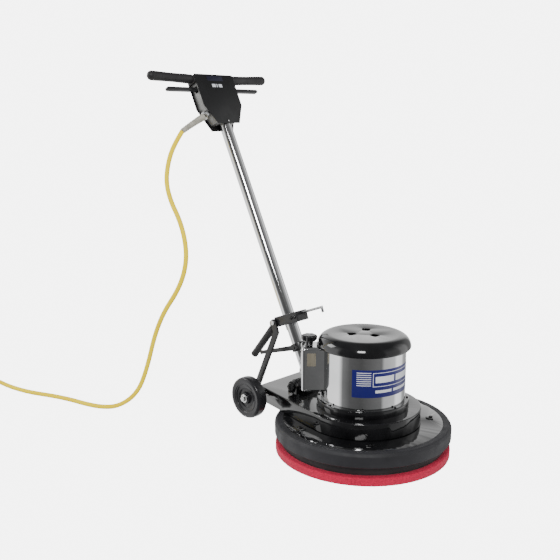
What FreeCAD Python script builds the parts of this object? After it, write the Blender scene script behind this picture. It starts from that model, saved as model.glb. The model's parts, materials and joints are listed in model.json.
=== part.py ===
"""Rotary floor machine: round pad under a geared motor, transport wheels, adjustable handle and mains cord.

Frame: +X forward, +Y to the operator's left, +Z up, origin at the centre of the pad's bottom face.
Handle pieces are drawn upright over the handle's pivot and then leaned back. All sizes are in millimetres.
"""
import FreeCAD, Part
import math
import os

V = FreeCAD.Vector
X, Y, Z = V(1, 0, 0), V(0, 1, 0), V(0, 0, 1)

# fits
RUN = 0.05              # radial running clearance of a shaft in its bore
GAP = 0.5               # free gap between pieces that pass each other

# pad and drive
PAD_R, PAD_T = 254.0, 25.0
FACE_R, FACE_T = 236.0, 5.0
DRIVER_R, DRIVER_T = 239.0, 15.0
CLUTCH_R, CLUTCH_T = 78.0, 12.0
HUB_R, LUG_R, LUG_W = 38.0, 58.0, 22.0
SHAFT_R = 12.5          # output shaft

# gears
MODULE = 1.5
SUN_TEETH, PLANET_TEETH = 12, 48
RING_TEETH = SUN_TEETH + 2 * PLANET_TEETH
PLANETS = 3
ADDENDUM, DEDENDUM = 1.05, 1.75
BACKLASH = 0.30
GEAR_W = 16.0
CARRIER_T = 8.0
PIN_R = 5.0

# deck and bumper
DECK_Z = 92.0           # top face of the deck
DECK_T = 6.0
SKIRT_Z = 54.0          # lower rim of the deck's skirt
SKIRT_R, SKIRT_T = 231.0, 5.0
BUMPER_R, BUMPER_Z = 256.0, 50.0
BOSS_RING_R, BOSS_R, BOSS_H = 200.0, 15.0, 2.5
BOSS_ANGLES = (45.0, -45.0, 112.0, -112.0)

# gearbox and frame
CASE_R, CASE_WALL = 102.0, 6.0
SHADOW_GAP = 2.0        # gap between deck and frame outside the frame's seat
FRAME_R, FRAME_TOP = 168.0, 139.0
FRAME_WALL = 7.0
FRAME_CORNER_R = 22.0
SEAT_R = 150.0

# motor
SHROUD_R, SHROUD_T, SHROUD_TOP = 121.0, 1.5, 314.0
FLANGE_STEP = 12.0      # flange past the shroud
FLANGE_R, FLANGE_TOP, FLANGE_PLATE = SHROUD_R + FLANGE_STEP, 161.0, 8.0
CAN_GAP = 27.0
CAN_R, CAN_T, CAN_TOP = SHROUD_R - CAN_GAP, 4.0, 300.0
STACK_Z0, STACK_Z1 = 192.0, 264.0
ROTOR_R, AIR_GAP = 44.4, 0.6
MOTOR_SHAFT_R = 8.0
BEARING_R, BEARING_W = 17.5, 14.0
FAN_R, FAN_HUB_R, FAN_H, BLADE_T, BLADES = 84.0, 26.0, 16.0, 2.0, 8
CAP_STEP, CAP_SHOULDER = 13.5, 39.0
CAP_R, CAP_TOP, CAP_WALL = SHROUD_R + CAP_STEP, 350.0, 3.5
CAP_FLAT_R = CAP_R - CAP_SHOULDER
CAP_LIP = 4.0
VENT_RADIUS, VENT_IN, VENT_OUT, VENT_LEN = 37.0, 18.0, 27.0, 24.0
VENT_CORNER = 5.0

# capacitor box and its knob
BOX_ANGLE = 224.0
BOX_REACH = 59.0        # how far the box stands out from the shroud
BOX_OUT, BOX_HALF = SHROUD_R + BOX_REACH, 37.5
BOX_Z0, BOX_Z1, BOX_WALL, BOX_EDGE = 184.0, 316.0, 2.0, 9.0
BOX_SCREW_IN, BOX_SCREW_SIDE = 26.0, -14.0
CAPACITOR_R, CAPACITOR_H, CAPACITOR_IN = 20.0, 78.0, 29.0
KNOB_AT = BOX_OUT - 23.0 # distance of the knob from the motor's axis
KNOB_R, KNOB_H, STUD_R = 24.0, 17.0, 5.0
KNOB_HUB_R, KNOB_HUB_H, LOBE_R, LOBES, STUD_LEN = 11.0, 12.0, 5.5, 7, 14.0

# axle and wheels
WHEEL_R, WHEEL_W, WHEEL_FACE = 63.5, 36.0, 172.0
WHEEL_CLEAR = 36.613    # bumper to tyre, measured along X
AXLE_X = -(math.sqrt(BUMPER_R ** 2 - (WHEEL_FACE - WHEEL_W) ** 2) + WHEEL_R + WHEEL_CLEAR)
AXLE_Z, AXLE_R = 118.0, 8.0
WHEEL_HUB_R, HUB_BOSS_R = 30.0, 17.0
AXLE_CAP_R, AXLE_NUT, AXLE_NUT_H = 13.0, 15.0, 6.0
FRAME_REAR_X, FRAME_REAR_HALF = AXLE_X - 13.0, 103.0
TUNNEL_HALF = 92.0      # axle tunnel inside the frame
LEG_Y = 115.0           # brace leg's eye on the axle

# handle: pivot, tube and lean
PIVOT = V(-203, 0, 160)
LEAN = 26.0
FOOT_R, FOOT_HALF = 19.5, 70.0
EAR_T, EAR_R = 12.0, 17.0
PIVOT_BOLT_R, BOLT_HEAD = 8.0, 23.0
TUBE_R, TUBE_WALL = 19.05, 1.8
GRIP_U = 1012.6         # distance of the hand grips from the pivot

# tube lock
COLLAR_U, COLLAR_H, COLLAR_R = 110.0, 24.0, 24.0
LOCK_LEN, LOCK_T = 146.0, 5.0

# sliding clamp block, its lever and the brace
BLOCK_Y, BLOCK_H, BLOCK_TILT = 25.0, 32.0, 5.0
BLOCK_FRONT, BLOCK_REAR = 56.0, -44.0
BLOCK_U = 201.0
SLOT_V, CAM_V, EAR_U = -46.0, -61.0, 206.0
CROSS_PIN_R, PIN_FLOAT = 4.0, 3.2
CAM_PIN_R, CAM_HUB_R = 2.5, 6.0
CAM_LEN, CAM_GRIP_R, CAM_DROP = 168.0, 12.5, 25.0
LEG_W, LEG_T = 22.0, 5.0
HOOK_R, HOOK_LEN, HOOK_TURN, HOOK_UP, HOOK_IN = 4.0, 86.0, 16.0, 8.0, 26.0

# handle head
PLATE_TOP, PLATE_LEN, PLATE_SIDE = 12.0, 170.0, 107.0
PLATE_HALF, PLATE_FOOT, PLATE_T = 81.0, 46.0, 1.9
BACK_EXTRA = 10.0
INSET, HEAD_WALL = 8.0, 6.0
BAR_R, GRIP_R, GRIP_END, GRIP_RAISE = 11.0, 15.0, 247.0, 2.25
COLLAR_IN, COLLAR_HALF, COLLAR_DROP, COLLAR_RISE = 7.0, 18.0, 17.0, 8.0   # block at the grip's inner end
TRIGGER_U, TRIGGER_H, TRIGGER_T = -34.0, 11.0, 12.0
TRIGGER_Y, TRIGGER_END = 52.0, 192.0
TRIGGER_PIN_R = 3.0

# cord connector and sleeve, from the grips' height down
MOUTH_Y, MOUTH_DROP = -82.7, 128.55
CONNECTOR_Y, CONNECTOR_DROP = -60.0, 115.6
CONNECTOR_R, CONNECTOR_LEN = 13.0, 20.0
SLEEVE_R0, SLEEVE_R1 = 11.0, 8.8
SLEEVE_STEPS = ((2.0, -38.0, -15.6), (-10.5, -76.3, -42.6))     # knee and end, from the mouth

# cord
CORD_R = 7.5
CORD_PITCH = 15.7       # from turn to turn in the coil
COIL_CENTRE = V(-1476, -613.9, 0)
COIL_R, COIL_WIDE, COIL_HIGH = 117.0, 5, 4      # mean radius, turns side by side and layers
PLUG_R, PLUG_LEN, PLUG_RELIEF = 15.0, 52.0, 20.0
PLUG_X, PLUG_Y = -1476.0, -712.0                # plug's tail, on top of the coil
BLADE_W, BLADE_GAP, BLADE_LEN, EARTH_R = 6.0, 12.7, 17.0, 2.4
CORD_ROUTE = [
    (-601, -159, 912), (-613, -184, 871), (-622, -202, 815), (-616, -216, 755), (-587, -222, 700),
    (-546, -224, 650), (-516, -229, 597), (-502, -234, 538), (-511, -241, 478), (-543, -247, 420),
    (-588, -256, 362), (-623, -260, 303), (-646, -264, 246), (-663, -268, 190), (-683, -273, 134),
    (-707, -279, 82), (-743, -294, 37), (-782, -325, 10), (-824, -357, 7.5), (-884, -376, 7.5),
    (-955, -388, 7.5), (-1036, -412, 7.5), (-1118, -447, 7.5), (-1210, -467, 7.5), (-1305, -471, 7.5),
    (-1400, -465.5, 7.5)]


# ---------------------------------------------------------------- helpers

def tube_z(outer, inner, z0, z1):
    """Ring about the Z axis; inner 0 gives a disc."""
    solid = Part.makeCylinder(outer, z1 - z0, V(0, 0, z0))
    if inner:
        solid = solid.cut(Part.makeCylinder(inner, z1 - z0, V(0, 0, z0)))
    return solid


def rod(start, axis, radius, length):
    """Cylinder from a point along an axis."""
    return Part.makeCylinder(radius, length, V(*start), axis)


def rod_y(x, z, radius, y0, y1):
    """Cylinder along Y between two stations."""
    return rod((x, y0, z), Y, radius, y1 - y0)


def slab(x0, x1, y0, y1, z0, z1):
    """Box between two corners."""
    return Part.makeBox(x1 - x0, y1 - y0, z1 - z0, V(x0, y0, z0))


def prism(points, direction):
    """Polygon carried along a direction."""
    wire = Part.makePolygon([V(*p) for p in points + points[:1]])
    return Part.Face(wire).extrude(direction)


def turned(edges):
    """Closed profile in the XZ plane turned about the Z axis."""
    return Part.Face(Part.Wire(edges)).revolve(V(0, 0, 0), Z, 360)


def lines(points):
    """Straight edges through a list of (radius, z) points."""
    return [Part.makeLine(V(a[0], 0, a[1]), V(b[0], 0, b[1])) for a, b in zip(points, points[1:])]


def arc(a, b, c):
    """Arc edge through three (radius, z) points."""
    return Part.Arc(V(a[0], 0, a[1]), V(b[0], 0, b[1]), V(c[0], 0, c[1])).toShape()


def spun(shape, angle, centre=V(0, 0, 0), axis=Z):
    """Copy turned about an axis."""
    copy = shape.copy()
    copy.rotate(centre, axis, angle)
    return copy


def around(shape, count, start=0.0):
    """Copies of a shape spread evenly about the Z axis."""
    return [spun(shape, start + 360.0 * k / count) for k in range(count)]


def moved(shape, x, y, z):
    """Copy shifted by an offset."""
    copy = shape.copy()
    copy.translate(V(x, y, z))
    return copy


def mirrored(shape):
    """Copy on the machine's other side."""
    return shape.mirror(V(0, 0, 0), Y)


def leaned(shape):
    """Handle piece, drawn upright over the pivot, leaned back and put on the pivot."""
    copy = shape.copy()
    copy.rotate(V(0, 0, 0), Y, -LEAN)
    copy.translate(PIVOT)
    return copy


def hexagon(across, height):
    """Hexagonal head standing on Z = 0."""
    radius = across / math.sqrt(3)
    corners = [(radius * math.cos(math.radians(60 * k)), radius * math.sin(math.radians(60 * k)), 0)
               for k in range(6)]
    return prism(corners, V(0, 0, height))


def screw_head(radius, height):
    """Low round head with a cross slot, standing on Z = 0."""
    head = Part.makeCylinder(radius, height)
    head = head.makeChamfer(height * 0.45, [head.Edges[0]])
    slot = slab(-radius * 0.7, radius * 0.7, -0.7, 0.7, height * 0.55, height)
    return head.cut(slot).cut(spun(slot, 90))


def fused(first, *rest):
    """One solid from several that touch or overlap."""
    return first.multiFuse(list(rest)).removeSplitter()


def round_route(points, radius, label):
    """Tube along straight runs joined by tangent arcs, each arc as large as its two runs allow."""
    p = [V(*q) for q in points]
    edges, start, length, radii = [], p[0], 0.0, []
    for before, corner, after in zip(p, p[1:], p[2:]):
        inward, outward = before - corner, after - corner
        reach = 0.45 * min(inward.Length, outward.Length)
        into, out = V(inward).normalize(), V(outward).normalize()
        half_turn = (math.pi - into.getAngle(out)) / 2
        bend = reach / math.tan(half_turn)
        a, b = corner + into * reach, corner + out * reach
        middle = corner + (into + out).normalize() * (bend / math.cos(half_turn) - bend)
        edges += [Part.LineSegment(start, a).toShape(), Part.Arc(a, middle, b).toShape()]
        length += (a - start).Length + bend * 2 * half_turn
        radii.append(round(bend, 1))
        start = b
    edges.append(Part.LineSegment(start, p[-1]).toShape())
    length += (p[-1] - start).Length
    wire = Part.Wire(edges)
    section = Part.Wire([Part.makeCircle(radius, p[0], p[1] - p[0])])
    solid = wire.makePipeShell([section], True, False)
    ratio = solid.Volume / (math.pi * radius ** 2 * length)
    print(label, "length %.0f mm, volume ratio %.4f, radii" % (length, ratio), radii)
    return solid


# ---------------------------------------------------------------- gears

def involute_angle(base, radius):
    """Polar angle an involute has turned through at a radius."""
    if radius <= base:
        return 0.0
    roll = math.sqrt((radius / base) ** 2 - 1)
    return roll - math.atan(roll)


def gear_outline(teeth, tip, root, width_change):
    """Closed outline of involute teeth, tooth 0 centred on +X, each flank through three points."""
    pitch = MODULE * teeth / 2
    base = pitch * math.cos(math.radians(20))
    half_tooth = math.pi / (2 * teeth) + width_change / (2 * pitch) + involute_angle(base, pitch)
    flank = [(r, half_tooth - involute_angle(base, r)) for r in (root, pitch, tip)]
    outline = []
    for k in range(teeth):
        middle = 2 * math.pi * k / teeth
        for r, a in flank:
            outline.append((r * math.cos(middle - a), r * math.sin(middle - a), 0))
        for r, a in reversed(flank):
            outline.append((r * math.cos(middle + a), r * math.sin(middle + a), 0))
    return outline


def gear_blank(teeth, z0):
    """Toothed disc with backlash taken off each tooth."""
    pitch = MODULE * teeth / 2
    outline = gear_outline(teeth, pitch + ADDENDUM, pitch - DEDENDUM, -BACKLASH)
    return moved(prism(outline, V(0, 0, GEAR_W)), 0, 0, z0)


CENTRES = MODULE * (SUN_TEETH + PLANET_TEETH) / 2
CARRIER_Z = DECK_Z + 6 + GAP
GEAR_Z = CARRIER_Z + CARRIER_T + GAP


def planet_gear(index):
    """Planet with a tooth gap facing both the sun and the ring."""
    gear = spun(gear_blank(PLANET_TEETH, GEAR_Z), 180.0 / PLANET_TEETH)
    bore = Part.makeCylinder(PIN_R + RUN, GEAR_W, V(0, 0, GEAR_Z))
    return spun(moved(gear.cut(bore), CENTRES, 0, 0), 360.0 * index / PLANETS)


def ring_gear():
    """Internal gear, with a tooth facing each planet."""
    pitch = MODULE * RING_TEETH / 2
    space = gear_outline(RING_TEETH, pitch + DEDENDUM, pitch - ADDENDUM, BACKLASH)
    hollow = spun(prism(space, V(0, 0, GEAR_W)), 180.0 / RING_TEETH)
    return tube_z(CASE_R - CASE_WALL, 0, GEAR_Z, GEAR_Z + GEAR_W).cut(moved(hollow, 0, 0, GEAR_Z))


def planet_carrier():
    """Carrier plate with its planet pins and the output shaft in one forging."""
    plate = tube_z(CENTRES + 14, 0, CARRIER_Z, CARRIER_Z + CARRIER_T)
    shaft = tube_z(SHAFT_R - RUN, 0, PAD_T + FACE_T + DRIVER_T + 3, CARRIER_Z)
    pin = Part.makeCylinder(PIN_R, CARRIER_T + GAP + GEAR_W + 2, V(CENTRES, 0, CARRIER_Z))
    return fused(plate, shaft, *around(pin, PLANETS))


def rotor_shaft():
    """Motor shaft with the sun pinion cut on its lower end."""
    pinion = gear_blank(SUN_TEETH, GEAR_Z)
    neck = tube_z(MODULE * SUN_TEETH / 2 - DEDENDUM, 0, GEAR_Z, FRAME_TOP)
    shaft = tube_z(MOTOR_SHAFT_R - RUN, 0, FRAME_TOP - 8, SHROUD_TOP + 12)
    return fused(pinion, neck, shaft)


# ---------------------------------------------------------------- pad and drive

DRIVER_Z0 = PAD_T + FACE_T
DRIVER_Z1 = DRIVER_Z0 + DRIVER_T


def lugs(radius, half_width, z0, z1):
    """Three-lug cross-section, used for the hub and, larger, for the plate's socket."""
    core = tube_z(HUB_R + (half_width - LUG_W / 2), 0, z0, z1)
    lug = slab(0, radius, -half_width, half_width, z0, z1)
    return fused(core, *around(lug, 3))


def pad_and_driver(parts):
    """Soft pad, gripping face, driver board, clutch plate and the hub that turns them."""
    parts["floor_pad"] = tube_z(PAD_R, 0, 0, PAD_T)
    parts["driver_face"] = tube_z(FACE_R, 60, PAD_T, DRIVER_Z0)
    parts["pad_driver"] = tube_z(DRIVER_R, 60, DRIVER_Z0, DRIVER_Z1)
    socket = lugs(LUG_R, LUG_W / 2, DRIVER_Z1, DRIVER_Z1 + CLUTCH_T)
    parts["clutch_plate"] = tube_z(CLUTCH_R, 0, DRIVER_Z1, DRIVER_Z1 + CLUTCH_T).cut(socket)
    boss = tube_z(22, 0, DRIVER_Z1 + CLUTCH_T, DRIVER_Z1 + CLUTCH_T + 9)
    hub = fused(lugs(LUG_R, LUG_W / 2, DRIVER_Z1, DRIVER_Z1 + CLUTCH_T), boss)
    parts["drive_hub"] = hub.cut(tube_z(SHAFT_R - RUN, 0, DRIVER_Z1 + 3, DECK_Z))


def gear_train(parts):
    """Sun, planets, carrier and fixed ring."""
    parts["planet_carrier"] = planet_carrier()
    parts["ring_gear"] = ring_gear()
    for k in range(PLANETS):
        parts["planet_gear_%d" % (k + 1)] = planet_gear(k)


# ---------------------------------------------------------------- deck, gearbox case and frame

def deck_housing():
    """Round pressed deck with a skirt and four low screw bosses."""
    plate = tube_z(SKIRT_R, CASE_R + GAP, DECK_Z - DECK_T, DECK_Z)
    skirt = tube_z(SKIRT_R, SKIRT_R - SKIRT_T, SKIRT_Z, DECK_Z - DECK_T)
    boss = Part.makeCylinder(BOSS_R, BOSS_H, V(BOSS_RING_R, 0, DECK_Z))
    boss = boss.cut(slab(BOSS_RING_R + 5, BOSS_RING_R + BOSS_R, -BOSS_R, BOSS_R, DECK_Z, DECK_Z + BOSS_H))
    return fused(plate, skirt, *[spun(boss, angle) for angle in BOSS_ANGLES])


def bumper():
    """Rubber ring round the skirt, its top edge rounded and its lower lip drawn in."""
    top = DECK_Z + 0.5
    inner = SKIRT_R
    profile = lines([(inner, BUMPER_Z + 4), (BUMPER_R - 4, BUMPER_Z), (BUMPER_R, BUMPER_Z + 3),
                     (BUMPER_R, top - 8)])
    profile.append(arc((BUMPER_R, top - 8), (BUMPER_R - 2.4, top - 2.4), (BUMPER_R - 8, top)))
    profile += lines([(BUMPER_R - 8, top), (inner + 2, top), (inner, top - 2), (inner, BUMPER_Z + 4)])
    return turned(profile)


def gearbox_case():
    """Cup that holds the ring gear, with a bolting flange and the output bearing's seat."""
    floor_z = DECK_Z - 8
    cup = tube_z(CASE_R, 0, floor_z, FRAME_TOP)
    cup = cup.cut(tube_z(CASE_R - CASE_WALL, 0, DECK_Z, FRAME_TOP))
    flange = tube_z(118, CASE_R - 1, DECK_Z, DECK_Z + 5)
    seat = tube_z(33, 0, floor_z - 15, floor_z)
    bore = tube_z(26, 0, floor_z - 15, floor_z - 1)
    hole = tube_z(SHAFT_R + 2, 0, floor_z - 15, DECK_Z)
    return fused(cup, flange, seat).cut(bore).cut(hole)


def frame_outline(inset, z0, height):
    """Collar and tapered rear arm as one outline, drawn in by an inset."""
    radius = FRAME_R - inset
    lean = math.atan2(138.0 - FRAME_REAR_HALF, 158.0)
    touch = (-radius * math.sin(lean), radius * math.cos(lean))
    rear = FRAME_REAR_X + inset
    half = touch[1] - (touch[0] - rear) * math.tan(lean)
    arm = prism([(touch[0], -touch[1], z0), (touch[0], touch[1], z0), (rear, half, z0), (rear, -half, z0)],
                V(0, 0, height))
    corner = max(FRAME_CORNER_R - inset, 3.0)
    rear_edges = [e for e in arm.Edges if abs(e.CenterOfMass.x - rear) < 0.1 and e.BoundBox.ZLength > height / 2]
    arm = arm.makeFillet(corner, rear_edges)
    return fused(Part.makeCylinder(radius, height, V(0, 0, z0)), arm)


def frame_casting():
    """Hollow casting over the deck that carries the motor, the handle's ears and the axle."""
    foot = DECK_Z + SHADOW_GAP
    outer = frame_outline(0, foot, FRAME_TOP - foot)
    top_rim = [e for e in outer.Edges if abs(e.BoundBox.ZMin - FRAME_TOP) < 0.01]
    outer = outer.makeFillet(3.0, top_rim)
    hollow = frame_outline(FRAME_WALL, foot, FRAME_TOP - FRAME_WALL - foot)
    shell = outer.cut(hollow)
    seat = tube_z(SEAT_R, SEAT_R - 8, DECK_Z, FRAME_TOP - 4)
    tunnel = rod_y(AXLE_X, AXLE_Z, AXLE_R + 6, -TUNNEL_HALF, TUNNEL_HALF)
    ear = rod_y(PIVOT.x, PIVOT.z, EAR_R, FOOT_HALF + 1, FOOT_HALF + 1 + EAR_T)
    web = slab(PIVOT.x - EAR_R, PIVOT.x + EAR_R, FOOT_HALF + 1, FOOT_HALF + 1 + EAR_T, FRAME_TOP - 5, PIVOT.z)
    ear = fused(ear, web)
    body = fused(shell, seat, tunnel, ear, mirrored(ear))
    body = body.cut(tube_z(CASE_R + GAP, 0, DECK_Z, FRAME_TOP))
    body = body.cut(rod_y(AXLE_X, AXLE_Z, AXLE_R, -120, 120))
    return body.cut(rod_y(PIVOT.x, PIVOT.z, PIVOT_BOLT_R, -120, 120))


def base_fasteners():
    """Pivot bolt, and the heads of the deck, flange and box screws above their seats."""
    deck = moved(screw_head(6, 3), BOSS_RING_R, 0, DECK_Z + BOSS_H)
    flange = moved(screw_head(3.2, 3), FLANGE_R - 6, 0, FLANGE_TOP)
    box = moved(screw_head(4, 4), BOX_OUT - BOX_SCREW_IN, BOX_SCREW_SIDE, BOX_Z0)
    box = spun(box, 180, V(BOX_OUT - BOX_SCREW_IN, BOX_SCREW_SIDE, BOX_Z0), X)
    screws = [spun(deck, angle) for angle in BOSS_ANGLES]
    screws += around(flange, 8, -7) + [spun(box, BOX_ANGLE)]
    return Part.makeCompound(screws + [pivot_bolt()])


# ---------------------------------------------------------------- motor

def motor_flange():
    """Round base of the motor: ring wall, plate and lower bearing seat."""
    wall = tube_z(FLANGE_R, SHROUD_R - SHROUD_T - 2, FRAME_TOP, FLANGE_TOP)
    rim = [e for e in wall.Edges if abs(e.BoundBox.ZMin - FLANGE_TOP) < 0.01 and e.Length > 6.2 * FLANGE_R]
    wall = wall.makeFillet(3.0, rim)
    plate = tube_z(SHROUD_R, 0, FRAME_TOP, FRAME_TOP + FLANGE_PLATE)
    seat = tube_z(BEARING_R + 8, 0, FRAME_TOP, FRAME_TOP + FLANGE_PLATE + BEARING_W)
    body = fused(wall, plate, seat)
    body = body.cut(tube_z(BEARING_R, 0, FRAME_TOP + FLANGE_PLATE, FLANGE_TOP + BEARING_W))
    return body.cut(tube_z(MOTOR_SHAFT_R + 3, 0, FRAME_TOP, FLANGE_TOP))


def motor_can():
    """Inner motor shell with its upper end bell and bearing seat."""
    foot = FRAME_TOP + FLANGE_PLATE
    wall = tube_z(CAN_R, CAN_R - CAN_T, foot, CAN_TOP)
    bell = tube_z(CAN_R, 0, CAN_TOP - 6, CAN_TOP)
    seat = tube_z(BEARING_R + 6, 0, CAN_TOP - BEARING_W, CAN_TOP)
    vent = Part.makeCylinder(13, 6, V(56, 0, CAN_TOP - 6))
    body = fused(wall, bell, seat)
    for hole in around(vent, 6, 30):
        body = body.cut(hole)
    return body.cut(tube_z(BEARING_R, 0, CAN_TOP - BEARING_W, CAN_TOP))


def bearings():
    """Output bearing and the motor's two bearings, each as a plain ring."""
    low = DECK_Z - 8
    output = tube_z(26, SHAFT_R, low - 14, low - 1)
    lower = tube_z(BEARING_R, MOTOR_SHAFT_R, FRAME_TOP + FLANGE_PLATE, FRAME_TOP + FLANGE_PLATE + BEARING_W)
    upper = tube_z(BEARING_R, MOTOR_SHAFT_R, CAN_TOP - BEARING_W, CAN_TOP)
    return Part.makeCompound([output, lower, upper])


def stator_windings():
    """End turns above and below the stator stack."""
    turns = [(STACK_Z0 - 18, STACK_Z0), (STACK_Z1, STACK_Z1 + 14)]
    return Part.makeCompound([tube_z(CAN_R - 12, ROTOR_R + 6, a, b) for a, b in turns])


def cooling_fan():
    """Flat hub with eight straight blades."""
    z0 = CAN_TOP + 4
    hub = tube_z(FAN_HUB_R, 0, z0, z0 + FAN_H)
    disc = tube_z(FAN_R, 0, z0, z0 + BLADE_T)
    blade = slab(FAN_HUB_R - 6, FAN_R, -BLADE_T / 2, BLADE_T / 2, z0, z0 + FAN_H)
    fan = fused(hub, disc, *around(blade, BLADES))
    return fan.cut(tube_z(MOTOR_SHAFT_R - RUN, 0, z0, z0 + FAN_H))


def vent():
    """Rounded trapezoid hole, wide end outwards."""
    r0, r1 = VENT_RADIUS - VENT_LEN / 2, VENT_RADIUS + VENT_LEN / 2
    hole = prism([(r0, -VENT_IN / 2, 0), (r1, -VENT_OUT / 2, 0), (r1, VENT_OUT / 2, 0), (r0, VENT_IN / 2, 0)],
                 V(0, 0, 20))
    upright = [e for e in hole.Edges if e.BoundBox.ZLength > 19]
    return moved(hole.makeFillet(VENT_CORNER, upright), 0, 0, CAP_TOP - 10)


def motor_cap():
    """Domed cover with a rolled lip round the shroud and three vents in its flat top."""
    lip_z, mid_z = SHROUD_TOP - 2, SHROUD_TOP + 3
    lip_r = SHROUD_R + 0.2
    inner_r = CAP_R - CAP_WALL
    rise = CAP_TOP - mid_z

    def shoulder(outer, flat, top):
        """Quarter of an ellipse from the widest point up to the flat top."""
        half = math.sqrt(0.5)
        return arc((outer, mid_z), (flat + (outer - flat) * half * 1.03, mid_z + (top - mid_z) * half * 1.02), (flat, top))
    profile = lines([(lip_r, lip_z), (CAP_R - 5, lip_z)])
    profile.append(arc((CAP_R - 5, lip_z), (CAP_R - 1.4, lip_z + 2.2), (CAP_R, mid_z)))
    profile.append(shoulder(CAP_R, CAP_FLAT_R, mid_z + rise))
    profile += lines([(CAP_FLAT_R, CAP_TOP), (0, CAP_TOP), (0, CAP_TOP - CAP_WALL),
                      (CAP_FLAT_R, CAP_TOP - CAP_WALL)])
    profile.append(shoulder(inner_r, CAP_FLAT_R, CAP_TOP - CAP_WALL).reversed())
    profile += lines([(inner_r, mid_z), (lip_r, lip_z + CAP_LIP), (lip_r, lip_z)])
    cap = turned(profile)
    for hole in around(vent(), 3):
        cap = cap.cut(hole)
    return cap


def motor(parts):
    """Flange, shroud, cap and the motor inside them."""
    parts["motor_flange"] = motor_flange()
    parts["motor_shroud"] = tube_z(SHROUD_R, SHROUD_R - SHROUD_T, FLANGE_TOP, SHROUD_TOP)
    parts["motor_cap"] = motor_cap()
    parts["motor_can"] = motor_can()
    parts["stator_core"] = tube_z(CAN_R - CAN_T, ROTOR_R + AIR_GAP, STACK_Z0, STACK_Z1)
    parts["stator_windings"] = stator_windings()
    parts["bearings"] = bearings()
    parts["rotor_shaft"] = rotor_shaft()
    parts["rotor_core"] = tube_z(ROTOR_R, MOTOR_SHAFT_R - RUN, STACK_Z0 - 2, STACK_Z1 + 2)
    parts["cooling_fan"] = cooling_fan()


# ---------------------------------------------------------------- capacitor box

def capacitor_box():
    """Deep-drawn cover, open towards the shroud, its edges rounded."""
    inside = SHROUD_R - 19
    box = slab(inside, BOX_OUT, -BOX_HALF, BOX_HALF, BOX_Z0, BOX_Z1)
    outer_edges = [e for e in box.Edges if e.CenterOfMass.x > inside + 1]
    box = box.makeFillet(BOX_EDGE, outer_edges)
    hollow = slab(inside - 10, BOX_OUT - BOX_WALL, -BOX_HALF + BOX_WALL, BOX_HALF - BOX_WALL,
                  BOX_Z0 + BOX_WALL, BOX_Z1 - BOX_WALL)
    inner_edges = [e for e in hollow.Edges if e.CenterOfMass.x > inside - 9]
    hollow = hollow.makeFillet(BOX_EDGE - BOX_WALL, inner_edges)
    box = box.cut(hollow).cut(Part.makeCylinder(SHROUD_R, CAP_TOP))
    box = box.cut(tube_z(CAP_R + GAP, 0, SHROUD_TOP - 2 - GAP, CAP_TOP))
    box = box.cut(Part.makeCylinder(STUD_R + RUN, 20, V(KNOB_AT, 0, BOX_Z1 - 10)))
    return spun(box, BOX_ANGLE)


def star_knob():
    """Seven-lobed knob on a threaded stud."""
    z0 = BOX_Z1 + 0.3
    z1 = z0 + KNOB_HUB_H
    hub = Part.makeCylinder(KNOB_HUB_R, KNOB_HUB_H, V(0, 0, z0))
    star = Part.makeCylinder(KNOB_R - 4, KNOB_H, V(0, 0, z1))
    lobe = Part.makeCylinder(LOBE_R, KNOB_H, V(KNOB_R - LOBE_R, 0, z1))
    stud = Part.makeCylinder(STUD_R, STUD_LEN, V(0, 0, z0 - STUD_LEN))
    knob = fused(star, hub, stud, *around(lobe, LOBES))
    return spun(moved(knob, KNOB_AT, 0, 0), BOX_ANGLE)


def box_group(parts):
    """Capacitor box, capacitor, knob."""
    parts["capacitor_box"] = capacitor_box()
    parts["start_capacitor"] = spun(
        Part.makeCylinder(CAPACITOR_R, CAPACITOR_H, V(BOX_OUT - CAPACITOR_IN, 0, BOX_Z0 + BOX_WALL)), BOX_ANGLE)
    parts["star_knob"] = star_knob()


# ---------------------------------------------------------------- axle, wheels, pivot

def wheel_axle():
    """Axle pressed into the frame, with a domed bolt at each end outside the wheels."""
    shaft = rod_y(AXLE_X, AXLE_Z, AXLE_R, -WHEEL_FACE - 1, WHEEL_FACE + 1)
    cap = rod_y(AXLE_X, AXLE_Z, AXLE_CAP_R, WHEEL_FACE + 0.5, WHEEL_FACE + 4)
    head = moved(spun(hexagon(AXLE_NUT, AXLE_NUT_H), -90, axis=X), AXLE_X, WHEEL_FACE + 4, AXLE_Z)
    end = fused(cap, head)
    return fused(shaft, end, mirrored(end))


def wheel_hub():
    """Hub disc with a raised boss, on the machine's left."""
    inner = WHEEL_FACE - WHEEL_W
    disc = rod_y(AXLE_X, AXLE_Z, WHEEL_HUB_R, inner + 6, WHEEL_FACE - 6)
    boss = rod_y(AXLE_X, AXLE_Z, HUB_BOSS_R, LEG_Y + LEG_T / 2 + 1, WHEEL_FACE)
    return fused(disc, boss).cut(rod_y(AXLE_X, AXLE_Z, AXLE_R + RUN, 100, WHEEL_FACE + 1))


def wheel_tyre():
    """Solid tyre with round shoulders and a dished side, on the machine's left."""
    half, r, hub = WHEEL_W / 2, WHEEL_R, WHEEL_HUB_R
    edges = lines([(hub, -half + 6), (hub, half - 6), (hub + 6, half - 3), (r - 16, half - 3), (r - 13, half)])
    edges.append(arc((r - 13, half), (r - 3.5, half - 4.5), (r, half - 13)))
    edges += lines([(r, half - 13), (r, -half + 13)])
    edges.append(arc((r, -half + 13), (r - 3.5, -half + 4.5), (r - 13, -half)))
    edges += lines([(r - 13, -half), (r - 16, -half + 3), (hub + 6, -half + 3), (hub, -half + 6)])
    tyre = spun(turned(edges), 90, axis=X)
    return moved(tyre, AXLE_X, WHEEL_FACE - half, AXLE_Z)


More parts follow.
